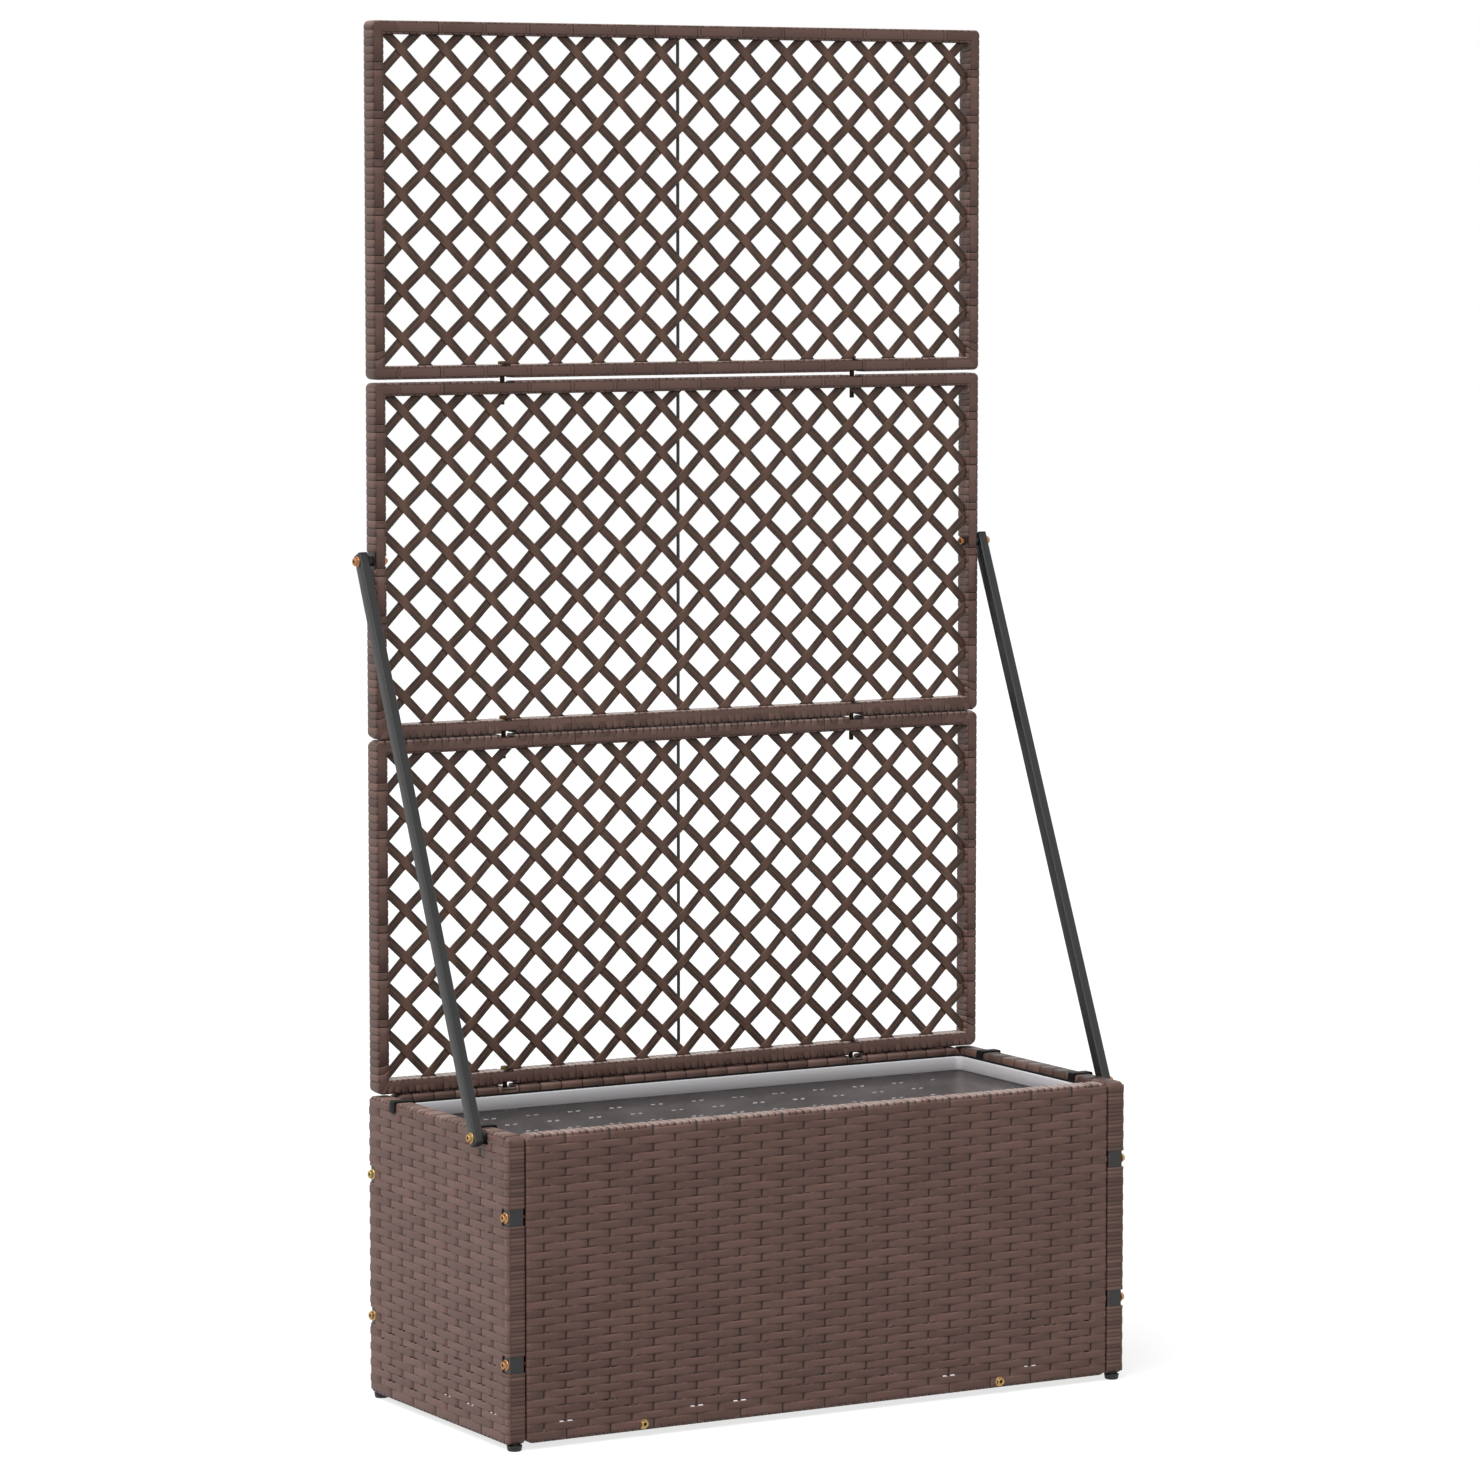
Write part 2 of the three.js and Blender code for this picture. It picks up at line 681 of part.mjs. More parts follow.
both.forEach((side) => {
  const name = side < 0 ? 'left' : 'right';
  const panel = standing(side * side_x, 0, foot_height, side * Math.PI / 2);
  sidePanel(name, side * strut_foot_y, panel);
  planter.add(panel);
});

const front = standing(0, -front_y, foot_height, 0);
endPanel('front', false, front);
const back = standing(0, front_y, foot_height, Math.PI);
endPanel('back', true, back);
planter.add(front, back);

const tiers = ['bottom', 'middle', 'top'];
tiers.forEach((tier, index) => {
  const z = box_top + trellis_gap + index * trellis_pitch;
  const panel = standing(0, trellis_y, z, 0);
  trellisPanel(`trellis_${tier}`, tier !== 'top', tier === 'middle', panel);
  planter.add(panel);
  const seat_z = z + band - cover;
  const length = 2 * (band - cover) + trellis_gap + cover + trellis_bolt_tail;
  both.forEach((side) => {
    const name = `trellis_${tier}_${side < 0 ? 'left' : 'right'}_bolt`;
    const y = trellis_y - trellis_bolt_z;
    planter.add(boltAt(name, bolt(length), side * trellis_bolt_x, y, seat_z));
  });
});

both.forEach((side) => {
  const left_right = side < 0 ? 'left' : 'right';
  const seat_x = side_x + tube_depth / 2;
  strut(left_right, side);
  both.forEach((end) => {
    const front_back = end < 0 ? 'front' : 'back';
    side_bolt_heights.forEach((height, index) => {
      const level = ['lower', 'upper'][index];
      const name = `${front_back}_${left_right}_${level}_bolt`;
      const z = foot_height + height;
      const y = end * side_bolt_y;
      planter.add(boltAt(name, bolt(side_bolt_length), side * seat_x, y, z, 0, side * Math.PI / 2));
    });
    const glide = piece(`${front_back}_${left_right}_foot`, foot(), colours.plastic);
    glide.position.set(side * side_x, end * side_bolt_y, 0);
    planter.add(glide);
    const nut_at = tube_depth + cover + 2 * seat + bar_thickness;
    const bar_bolt = bolt(nut_at + nut_height + bolt_tail, nut_at);
    const y = end * (front_y + tube_depth / 2);
    const turn = -end * Math.PI / 2;
    const name = `${front_back}_${left_right}_bar_bolt`;
    planter.add(boltAt(name, bar_bolt, side * bar_x, y, foot_height + band / 2, turn));
  });
  const flat = piece(`${left_right}_base_bar`, bar(), colours.steel);
  flat.position.x = side * bar_x;
  planter.add(flat);
});

planter.add(piece('liner_hoop', hoop(), colours.steel));
planter.add(piece('liner', liner(), colours.liner));

export default planter;
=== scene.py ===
"""A planter box of woven plastic strip on steel tube frames, with a three-panel trellis behind it.

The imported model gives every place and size. Each section below makes one piece, or one group
of like pieces, in millimetres, and puts it into the scene in metres.
"""

import math

import bpy
import numpy as np
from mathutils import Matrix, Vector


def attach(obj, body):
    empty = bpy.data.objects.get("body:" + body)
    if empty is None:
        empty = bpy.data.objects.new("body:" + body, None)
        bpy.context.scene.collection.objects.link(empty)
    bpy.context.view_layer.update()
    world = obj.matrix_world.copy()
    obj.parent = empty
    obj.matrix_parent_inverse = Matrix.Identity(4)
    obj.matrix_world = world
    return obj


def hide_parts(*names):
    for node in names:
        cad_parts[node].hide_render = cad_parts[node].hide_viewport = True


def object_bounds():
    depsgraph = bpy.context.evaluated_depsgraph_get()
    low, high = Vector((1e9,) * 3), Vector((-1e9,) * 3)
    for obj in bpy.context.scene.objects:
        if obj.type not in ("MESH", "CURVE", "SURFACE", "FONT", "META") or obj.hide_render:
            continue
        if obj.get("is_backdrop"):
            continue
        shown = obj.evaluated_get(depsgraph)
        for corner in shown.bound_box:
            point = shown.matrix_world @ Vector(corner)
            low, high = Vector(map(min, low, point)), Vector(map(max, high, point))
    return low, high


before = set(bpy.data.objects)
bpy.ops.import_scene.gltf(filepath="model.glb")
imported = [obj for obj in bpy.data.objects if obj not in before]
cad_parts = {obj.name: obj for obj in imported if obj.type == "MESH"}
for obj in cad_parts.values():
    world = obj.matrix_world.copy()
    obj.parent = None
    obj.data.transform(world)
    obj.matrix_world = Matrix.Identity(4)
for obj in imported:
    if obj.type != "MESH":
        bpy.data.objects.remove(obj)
cad_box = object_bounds()

# ---------------------------------------------------------------- the view, the floor and the light
# The planter stands on a plain white floor and is seen from its left front, a little from above,
# through a long lens. A broad lamp above its left side and an even pale sky light it.

picture_pixels = 1480
lens_pixels = 5781.0
sensor = 36.0
camera_place = (-3.4135, -5.9401, 1.4242)
camera_turn = math.radians(29.789)
camera_tilt = math.radians(5.350)

camera_data = bpy.data.cameras.new("camera")
camera_data.sensor_width = sensor
camera_data.lens = lens_pixels * sensor / picture_pixels
camera = bpy.data.objects.new("camera", camera_data)
camera.location = camera_place
camera.rotation_euler = (math.pi / 2 - camera_tilt, 0, -camera_turn)
bpy.context.scene.collection.objects.link(camera)
bpy.context.scene.camera = camera
bpy.context.scene.view_settings.view_transform = "Standard"


def set_inputs(tree, node, inputs):
    """Sets a node's inputs, or links them where a socket is given."""
    for key, value in inputs.items():
        if isinstance(value, bpy.types.NodeSocket):
            tree.links.new(value, node.inputs[key])
        else:
            node.inputs[key].default_value = value


def add_node(tree, kind, inputs=None, **settings):
    """A shader node with its settings made and its inputs set or linked."""
    made = tree.nodes.new(kind)
    for key, value in settings.items():
        setattr(made, key, value)
    set_inputs(tree, made, inputs or {})
    return made


def calculated(tree, operation, *values):
    """The result of one sum on the values."""
    return add_node(tree, "ShaderNodeMath", dict(enumerate(values)), operation=operation).outputs[0]


def ranged(tree, value, low, high):
    """A value that runs from 0 to 1, made to run from low to high."""
    return add_node(tree, "ShaderNodeMapRange", {"Value": value, "To Min": low, "To Max": high}).outputs[0]


def seen_direct(tree):
    """1 for rays from the camera, or by way of a gloss or through a clear sheet, and else 0."""
    path = add_node(tree, "ShaderNodeLightPath").outputs
    from_gloss = calculated(tree, "MAXIMUM", path["Is Camera Ray"], path["Is Glossy Ray"])
    return calculated(tree, "MAXIMUM", from_gloss, path["Is Transmission Ray"])


sky_level = 0.45
world = bpy.data.worlds.new("white surroundings")
world.use_nodes = True
bpy.context.scene.world = world
sky = world.node_tree
sky.nodes.clear()
level = ranged(sky, seen_direct(sky), sky_level, 1.0)
background = add_node(sky, "ShaderNodeBackground", {"Color": (1, 1, 1, 1), "Strength": level})
add_node(sky, "ShaderNodeOutputWorld", {"Surface": background.outputs[0]})


def add_sun(name, heading, strength, spread):
    """A lamp far away that shines along heading, as soft as its spread in degrees."""
    lamp = bpy.data.lights.new(name, "SUN")
    lamp.energy = strength
    lamp.angle = math.radians(spread)
    lamp_object = bpy.data.objects.new(name, lamp)
    x, y, z = heading
    lamp_object.rotation_euler = (0, math.acos(-z / math.hypot(x, y, z)), math.atan2(-y, -x))
    bpy.context.scene.collection.objects.link(lamp_object)


add_sun("key lamp", (0.5, 0.23, -0.835), 2.9, 50)
add_sun("fill lamp", (-0.55, -0.75, -0.35), 0.5, 90)

floor_half = 12.0
floor_glow = 0.74
floor_grey = (0.32, 0.32, 0.32, 1)
floor_mesh = bpy.data.meshes.new("floor")
corners = [(-floor_half, -floor_half, 0), (floor_half, -floor_half, 0)]
corners += [(floor_half, floor_half, 0), (-floor_half, floor_half, 0)]
floor_mesh.from_pydata(corners, [], [(0, 1, 2, 3)])
floor = bpy.data.objects.new("floor", floor_mesh)
bpy.context.scene.collection.objects.link(floor)
floor_paint = bpy.data.materials.new("white floor")
floor_paint.use_nodes = True
tree = floor_paint.node_tree
tree.nodes.clear()
matt = add_node(tree, "ShaderNodeBsdfDiffuse", {"Color": floor_grey})
glow_level = calculated(tree, "MULTIPLY", seen_direct(tree), floor_glow)
glow = add_node(tree, "ShaderNodeEmission", {"Color": (1, 1, 1, 1), "Strength": glow_level})
both_lights = add_node(tree, "ShaderNodeAddShader", {0: matt.outputs[0], 1: glow.outputs[0]})
add_node(tree, "ShaderNodeOutputMaterial", {"Surface": both_lights.outputs[0]})
floor_mesh.materials.append(floor_paint)
floor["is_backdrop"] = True

# ---------------------------------------------------------------- the woven faces of the box
# Flat brown plastic strip runs level across each panel, over one upright wire and behind the
# next, and the rows are staggered. Where a row goes behind a wire it leaves a sunk joint, and
# beside the joint a slit stays open between the rows. The joints and the grooves between the
# rows are darkened with painted shade, kept as a shade mark at the mesh's points.

MM = 0.001
panel_height = 357.0
foot_height = 7.0
panel_planes = {
    "front": (790.6, (0.0, -166.8), 0.0),
    "back": (790.6, (0.0, 166.8), math.pi),
    "left": (358.0, (-407.8, 0.0), -math.pi / 2),
    "right": (358.0, (407.8, 0.0), math.pi / 2),
}
weave_nodes = {
    "front": "front_weave", "back": "back_weave", "left": "left_side_weave", "right": "right_side_weave",
}
face_crest = 12.2
edge_round = 3.5
edge_steps = (0.5, 1.2, 2.2)
row_count = 37
row_pitch = (panel_height - 2 * edge_round) / row_count
wire_pitch = {"front": 28.68, "back": 28.68, "left": 28.95, "right": 28.95}
wire_count = {"front": 27, "back": 27, "left": 12, "right": 12}
first_wire = {"front": -372.8, "back": -372.8, "left": -149.9, "right": -168.5}
joint_half = 0.7
joint_shoulder = 1.7
joint_depth, joint_shade, joint_edge_loss = 1.5, 0.7, 0.2
groove_reach = {"front": 0.055, "back": 0.085, "left": 0.055, "right": 0.055}
groove_line = 0.04
groove_depth, groove_shade, groove_edge_loss = 0.85, 0.45, 0.8
parted_share, parted_from, parted_over = 0.75, 0.22, 0.2
row_lines = (0.3, 0.7)
row_crown = 0.12
row_wander = 0.7
sway_reach, sway_length, sway_step = 0.22, 47.0, 1.7
still_border, still_fade = 14.0, 10.0
slit_reach = 0.3
wide_slit_rows = 10
light_rows = 7
light_share = 0.6
strip_bow = 0.8
strip_thickness = 1.5
bolt_rows = (93.0, 263.0)
window_half = 10.0
strut_places = {"left": 119.0, "right": -119.0}
strut_window_half = 12.0
rail = 16.0
rail_line_half = 0.1
rim_cut_half = 7.25
slit_border = 1.5 * rail
random = np.random.default_rng(21)


def grid_faces(rows, columns, wrap_rows, wrap_columns, keep=None):
    """Corner numbers of the squares of a grid, whose last line joins the first where it wraps."""
    index = np.arange(rows * columns).reshape(rows, columns)
    if wrap_rows:
        index = np.vstack([index, index[:1]])
    if wrap_columns:
        index = np.hstack([index, index[:, :1]])
    faces = np.stack([index[:-1, :-1], index[1:, :-1], index[1:, 1:], index[:-1, 1:]], -1)
    return faces if keep is None else faces[keep]


def corner_coordinates(uv, keep=None):
    """The surface's own coordinates at the four corners of each square that is kept."""
    corners = np.stack([uv[:-1, :-1], uv[1:, :-1], uv[1:, 1:], uv[:-1, 1:]], 2)
    return (corners if keep is None else corners[keep]).reshape(-1, 2)


def put_mesh(name, points, faces, uv=None, marks=None, flat_ends=False):
    """A smooth mesh of points in mm, which keeps uv at the corners of its faces and marks at its points.

    With flat_ends only its squares are smooth.
    """
    mesh = bpy.data.meshes.new(name)
    mesh.from_pydata((points.reshape(-1, 3) * MM).tolist(), [], faces)
    if uv is not None:
        mesh.uv_layers.new(name="strip").data.foreach_set("uv", uv.ravel())
    for key, values in (marks or {}).items():
        layer = mesh.attributes.new(key, "FLOAT", "POINT")
        layer.data.foreach_set("value", np.ascontiguousarray(values, float).ravel())
    mesh.polygons.foreach_set("use_smooth", [len(f) == 4 or not flat_ends for f in faces])
    piece = bpy.data.objects.new(name, mesh)
    bpy.context.scene.collection.objects.link(piece)
    return piece


def add_surface(name, points, uv, marks, wrap=(False, False), keep=None):
    """A mesh over a grid of points in mm: one square face for each step of the two parameters.

    uv gives the surface's own coordinates at the grid's lines, one line more where it wraps.
    """
    faces = grid_faces(*points.shape[:2], *wrap, keep).reshape(-1, 4).tolist()
    return put_mesh(name, points, faces, corner_coordinates(uv, keep), marks)


def stand(points, origin, turn, lift=foot_height):
    """From a panel's own frame, x along it, y up and z out of its face, into the planter's."""
    x, y, z = np.moveaxis(points, -1, 0)
    c, s = math.cos(turn), math.sin(turn)
    return np.stack([origin[0] + c * x + s * z, origin[1] + s * x - c * z, lift + y], -1)


def inside(values, centre, half):
    """True within half of the centre."""
    return np.abs(values - centre) < half


def lines_with_edges(lines, offsets, low, high, more=()):
    """Every line with its offsets, and the extra places, sorted, between low and high."""
    spread = (np.asarray(lines)[:, None] + np.asarray(offsets)).ravel()
    places = np.concatenate([spread, np.asarray(more, float), [low, high]])
    places = places[(places >= low) & (places <= high)]
    return np.unique(np.round(places, 3))


def rounding(distance, radius):
    """How far a rounded edge falls below the flat at a distance from its border."""
    near = np.clip(radius - distance, 0, radius)
    return radius - np.sqrt(radius**2 - near**2)


def window_edges(centre, half):
    """Both sides of each border of a cut-out, close enough to make a step."""
    step = 0.04
    return [centre - half - step, centre - half + step, centre + half - step, centre + half + step]


def joint_step(side, x, from_top):
    """Place along a row in wires from one of its joints, and the distance to the nearest in mm.

    The joints of a row lie on every other wire, and those of the next on the wires between.
    """
    step = (x - first_wire[side]) / wire_pitch[side] - from_top % 2
    return step, np.abs(step - 2 * np.round(step / 2)) * wire_pitch[side]


def woven_face(side):
    """Height of the weave: bow of the strip along each brick, less the joints and the grooves.

    z = crest - bow (1 + cos(pi t)) / 2 - the deeper of joint(d) and groove(f) - rounding, with
    t the way from the joint to the wire that the strip crosses, d the distance from the joint
    and f the place across the row.
    """
    width, origin, turn = panel_planes[side]
    pitch = wire_pitch[side]
    reach = groove_reach[side]
    wires = first_wire[side] + pitch * np.arange(wire_count[side])
    more_x = [end * (width / 2 - d) for d in (0, *edge_steps, edge_round) for end in (-1, 1)]
    more_y = [y for d in edge_steps for y in (d, panel_height - d)]
    if side in strut_places:
        more_x += window_edges(strut_places[side], strut_window_half)
        for end in (width / 2 - rail, rail - width / 2):
            more_x += window_edges(end, rail_line_half)
        for y in bolt_rows:
            more_y += window_edges(y, window_half)
        more_y += window_edges(panel_height - rail + rim_cut_half, rim_cut_half)
    offsets = [-joint_shoulder, -joint_half, joint_half, joint_shoulder]
    offsets += [share * pitch for share in (slit_reach, 0.5, 1 - slit_reach)]
    xs = lines_with_edges(wires, offsets, -width / 2, width / 2, more_x)
    rows_y = edge_round + row_pitch * np.arange(row_count)
    offsets = row_pitch * np.array([0, reach, *row_lines, 1 - reach])
    ys = lines_with_edges(rows_y, offsets, 0, panel_height, more_y)
    x, y = np.meshgrid(xs, ys, indexing="ij")
    row = np.clip(np.floor((y - edge_round) / row_pitch + 1e-6), 0, row_count - 1).astype(int)
    across = np.clip((y - edge_round) / row_pitch - row, 0, 1)
    step, to_joint = joint_step(side, x, row_count - row)
    bow = strip_bow * (1 + np.cos(np.pi * np.clip(to_joint / pitch, 0, 1))) / 2
    joint = np.clip((joint_shoulder - to_joint) / (joint_shoulder - joint_half), 0, 1)
    in_groove = (across < groove_line) | (across > 1 - groove_line)
    wire_step = (x - first_wire[side]) / pitch
    off_wire = np.abs(wire_step - np.round(wire_step))
    parted = 1 - parted_share * np.clip((off_wire - parted_from) / parted_over, 0, 1)
    groove = np.where(in_groove, parted, row_crown * (2 * across - 1) ** 4)
    low_edges = (y < edge_round) | (y > panel_height - edge_round)
    fall = rounding(width / 2 - np.abs(x), edge_round)
    fall = fall + rounding(y, edge_round) + rounding(panel_height - y, edge_round)
    joint_fall = joint_depth * joint * (1 - joint_edge_loss * low_edges)
    groove_fall = groove_depth * groove * (1 - groove_edge_loss * low_edges)
    z = face_crest - bow * (1 - low_edges) - np.maximum(joint_fall, groove_fall) - fall
    # painted shade: the colour darkens in the joints and in the grooves between rows, most near the wires
    shade = 1 - np.maximum(joint_shade * joint, np.where(in_groove, groove_shade * parted, 0.0))
    brick = np.floor((step + 2) / 2).astype(int) + 3
    tone = random.random((row_count + 1, brick.max() + 3))[row, brick]
    wander = random.uniform(-row_wander, row_wander, row_count)[row]
    fade = np.clip((width / 2 - still_border - np.abs(x)) / still_fade, 0, 1)
    sway = sway_reach * np.sin(x / sway_length + sway_step * row) * fade * (1 - low_edges)
    points = stand(np.stack([x + wander * fade, y + sway, z], -1), origin, turn)
    # squares left out: the slits beside the joints, and the cut-outs for the bolts and the strut
    gx, gy = np.meshgrid((xs[1:] + xs[:-1]) / 2, (ys[1:] + ys[:-1]) / 2, indexing="ij")
    groove_row = np.round((gy - edge_round) / row_pitch)
    off_groove = (gy - edge_round) / row_pitch - groove_row
    step, beside = joint_step(side, gx, row_count - groove_row)
    slit = (np.abs(off_groove) < reach) & (beside > joint_shoulder) & (beside < slit_reach * pitch)
    slit &= (side == "back") | (off_groove > 0) | (groove_row < wide_slit_rows)
    slit &= (groove_row > 0) & (groove_row < row_count) & (np.abs(gx) < width / 2 - slit_border)
    chance = np.random.default_rng(5).random((row_count + 1, wire_count[side] + 3))
    lit = chance[groove_row.astype(int), np.round(step).astype(int) + 1] < light_share
    slit &= (groove_row >= light_rows) | lit
    bare = (gy < edge_round - 0.01) | (gy > panel_height - edge_round + 0.01)
    if side in strut_places:
        for bolt_y in bolt_rows:
            bare |= inside(gy, bolt_y, window_half) & (np.abs(gx) > width / 2 - rail)
        bare |= inside(gx, strut_places[side], strut_window_half) & (gy > panel_height - rail)
    marks = {"shade": shade, "tone": tone}
    uv = np.stack([x, y], -1)
    piece = add_surface(f"{side}_woven_face", points, uv, marks, keep=~(slit | bare))
    skin = piece.modifiers.new("strip thickness", "SOLIDIFY")
    skin.thickness = strip_thickness * MM
    skin.offset = -1
    return piece


# ---------------------------------------------------------------- the surface of the strip
# Extruded plastic strip: brown, satin, with fine lines drawn along it by the die. The shade in
# the gaps between its turns and rows is painted into its colour, the upward turns get a pale
# painted highlight, and no two lengths of it have quite the same brown.

strip_brown = (0.149, 0.083, 0.069, 1)
# the colour of the painted shade in the gaps, joints and grooves
strip_deep = (0.026, 0.012, 0.0095, 1)
# the pale colour of the painted highlight on the upward turns, reached as the tone goes from 1 to 3.2
strip_top_highlight = (0.36, 0.305, 0.28, 1)
highlight_from, highlight_full = 1.0, 3.2
patch_spread = 0.35
strip_gloss = 0.25


def noise(tree, place, scale=1.0, detail=2.0, **more):
    """Noise from 0 to 1 over a place."""
    given = {"Vector": place, "Scale": scale, "Detail": detail, **more}
    return add_node(tree, "ShaderNodeTexNoise", given).outputs["Fac"]


def stretched(tree, place, scale):
    """A place with each of its three parts scaled."""
    return add_node(tree, "ShaderNodeMapping", {"Vector": place, "Scale": scale}).outputs[0]


def blended(tree, share, first, second):
    """first (1 - share) + second share, of two colours."""
    return add_node(tree, "ShaderNodeMix", {0: share, 6: first, 7: second}, data_type="RGBA").outputs[2]


def scaled(tree, colour, gain):
    """A colour times a number."""
    return add_node(tree, "ShaderNodeVectorMath", {0: colour, "Scale": gain}, operation="SCALE").outputs[0]


def bumped(tree, height, strength, distance):
    """A normal that follows a height."""
    given = {"Height": height, "Strength": strength, "Distance": distance}
    return add_node(tree, "ShaderNodeBump", given).outputs[0]


def point_mark(tree, name):
    """A number kept at the mesh's points."""
    return add_node(tree, "ShaderNodeAttribute", attribute_name=name).outputs["Fac"]


def new_material(name):
    """A material, its nodes and its shader."""
    made = bpy.data.materials.new(name)
    made.use_nodes = True
    return made, made.node_tree, made.node_tree.nodes["Principled BSDF"]


def strip_group():
    """Colour, roughness and height of the strip from its own coordinates, a tone and a shade.

    Lines: noise drawn out along the strip. Colour: deep to brown by shade, the deep colour being
    painted shade, times the tone, and over to the pale colour of the painted highlight where the
    tone is above 1, which only the painted light on the upward turns of the windings reaches.
    """
    group = bpy.data.node_groups.new("plastic strip", "ShaderNodeTree")
    face = group.interface
    face.new_socket("Along", in_out="INPUT", socket_type="NodeSocketVector")
    for name, value in (("Brown", strip_brown), ("Deep", strip_deep)):
        face.new_socket(name, in_out="INPUT", socket_type="NodeSocketColor").default_value = value
    for name, value in (("Tone", 0.5), ("Shade", 1.0), ("Spread", 0.3), ("Lines", 0.2)):
        face.new_socket(name, in_out="INPUT", socket_type="NodeSocketFloat").default_value = value
    face.new_socket("Colour", in_out="OUTPUT", socket_type="NodeSocketColor")
    face.new_socket("Roughness", in_out="OUTPUT", socket_type="NodeSocketFloat")
    face.new_socket("Height", in_out="OUTPUT", socket_type="NodeSocketFloat")
    given = add_node(group, "NodeGroupInput").outputs
    drawn = stretched(group, given["Along"], (0.05, 1.9, 1))
    lines = noise(group, drawn, detail=3.0, Roughness=0.6)
    patches = noise(group, stretched(group, given["Along"], (0.02, 0.05, 1)))
    base = blended(group, given["Shade"], given["Deep"], given["Brown"])

    def around_one(value, width):
        """1 + width (value - 0.5)"""
        return calculated(group, "MULTIPLY_ADD", calculated(group, "SUBTRACT", value, 0.5), width, 1.0)

    gain = around_one(given["Tone"], given["Spread"])
    for value, width in ((lines, given["Lines"]), (patches, patch_spread)):
        gain = calculated(group, "MULTIPLY", gain, around_one(value, width))
    # painted highlight: a tone above 1, from the painted light on upward turns, turns the colour pale
    highlight_share = add_node(
        group, "ShaderNodeMapRange", {"Value": given["Tone"], "From Min": highlight_from, "From Max": highlight_full}
    ).outputs[0]
    colour = blended(group, highlight_share, scaled(group, base, gain), strip_top_highlight)
    rough = ranged(group, lines, 0.36, 0.6)
    add_node(group, "NodeGroupOutput", {"Colour": colour, "Roughness": rough, "Height": lines})
    return group


strip_nodes = strip_group()


def strip_material(name, brown=strip_brown, deep=strip_deep, spread=0.3, lines=0.25, bump=0.00012):
    """Plastic strip on a surface whose uv runs along and across it, in mm."""
    made, tree, shader = new_material(name)
    along = add_node(tree, "ShaderNodeUVMap", uv_map="strip").outputs[0]
    given = {"Along": along, "Tone": point_mark(tree, "tone"), "Shade": point_mark(tree, "shade")}
    given.update({"Brown": brown, "Deep": deep, "Spread": spread, "Lines": lines})
    strip = add_node(tree, "ShaderNodeGroup", given, node_tree=strip_nodes).outputs
    set_inputs(tree, shader, {
        "Base Color": strip["Colour"],
        "Roughness": strip["Roughness"],
        "Specular IOR Level": strip_gloss,
        "Normal": bumped(tree, strip["Height"], 0.5, bump),
    })
    return made


def finish_piece(piece, material, body, slot, *nodes):
    """Gives a piece its material, its body and the nodes that it stands for, whose imported parts it hides;
    its slot is not used.
    """
    piece.data.materials.append(material)
    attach(piece, body)
    if nodes:
        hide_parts(*nodes)


woven_brown = strip_material("woven strip")
for side in panel_planes:
    finish_piece(woven_face(side), woven_brown, "planter", "strip", weave_nodes[side])

# ---------------------------------------------------------------- the winding round the frames
# The same strip is wound tightly round every tube of every panel. A turn lies beside the next
# with a fine sunk line between, and along the rims of the front and left panels a deeper notch
# marks each upright wire. Lines and notches are darkened with painted shade, and the turns
# that face up get painted light: paler on most rims, darker on the right panel's rim.

panel_corner = 9.0
section_half = 11.5
side_skin, face_skin = 3.6, 1.4
turn_pitch = 9.4
groove_half = 0.4
groove_shoulder = 1.05
turn_groove = 0.6
turn_clearance = 0.12
rail_shade = 0.95
upright_shade = 0.75
box_upright_shade = 0.4
notch_depth = 2.0
notch_half, notch_shoulder = 1.3, 2.0
notch_margin = 0.3
hidden = 1.75
swell = 1.2
sharpest_turn = 0.4
mitre_fan = 40.0
far = 9.0
turn_numbers = 400
# painted light on the upward turns of the box's rims: paler on the front, back and left, darker on the right
rim_top_light = {"front": 1.7, "back": 0.7, "left": 0.6, "right": -0.9}
trellis_edge = 1.7


def rounded_section(low, high, reach, radius, steps=3):
    """Points and outward normals of a rectangle with round corners.

    It runs from low to high in its first part and from -reach to reach in its second.
    """
    angles = np.linspace(0, math.pi / 2, steps + 1)
    quarter = [(1, 1, 0), (-1, 1, 1), (-1, -1, 2), (1, -1, 3)]
    points, normals = [], []
    for sx, sz, turn in quarter:
        a = angles + turn * math.pi / 2
        n = np.stack([np.cos(a), np.sin(a)], -1)
        centre = np.array([(high - radius) if sx > 0 else (low + radius), sz * (reach - radius)])
        points.append(centre + radius * n)
        normals.append(n)
    return np.concatenate(points), np.concatenate(normals)


def around_frame(width, height, corner, places, inset):
    """A point inset from the outline of a rectangle with round corners, by its place along it.

    A place is (side, distance) on a straight side or (side, angle) in the corner after it.
    The straight sides shorten as the inset grows, so that the corners stay mitred.
    """
    side, value, is_arc = places
    side = side[:, None]
    value = value[:, None]
    lengths = np.array([width, height, width, height])[side]
    start = np.array([[-width / 2, 0], [width / 2, 0], [width / 2, height], [-width / 2, height]])[side]
    heading = np.array([[1.0, 0], [0, 1], [-1, 0], [0, -1]])[side]
    inward = np.array([[0, 1.0], [-1, 0], [0, -1], [1, 0]])[side]
    turn_radius = np.maximum(corner - inset, sharpest_turn)
    mitre = inset + turn_radius
    squeeze = (mitre - corner) * np.clip(1 - (value - corner) / mitre_fan, 0, 1)
    squeeze -= (mitre - corner) * np.clip(1 - (lengths - corner - value) / mitre_fan, 0, 1)
    distance = value + squeeze
    flat = start + heading * distance[..., None] + inward * inset[..., None]
    arc_centre = start + heading * (lengths - mitre)[..., None] + inward * mitre[..., None]
    arc = arc_centre + turn_radius[..., None] * (
        heading * np.sin(value)[..., None] - inward * np.cos(value)[..., None]
    )
    return np.where(is_arc[:, None, None], arc, flat)


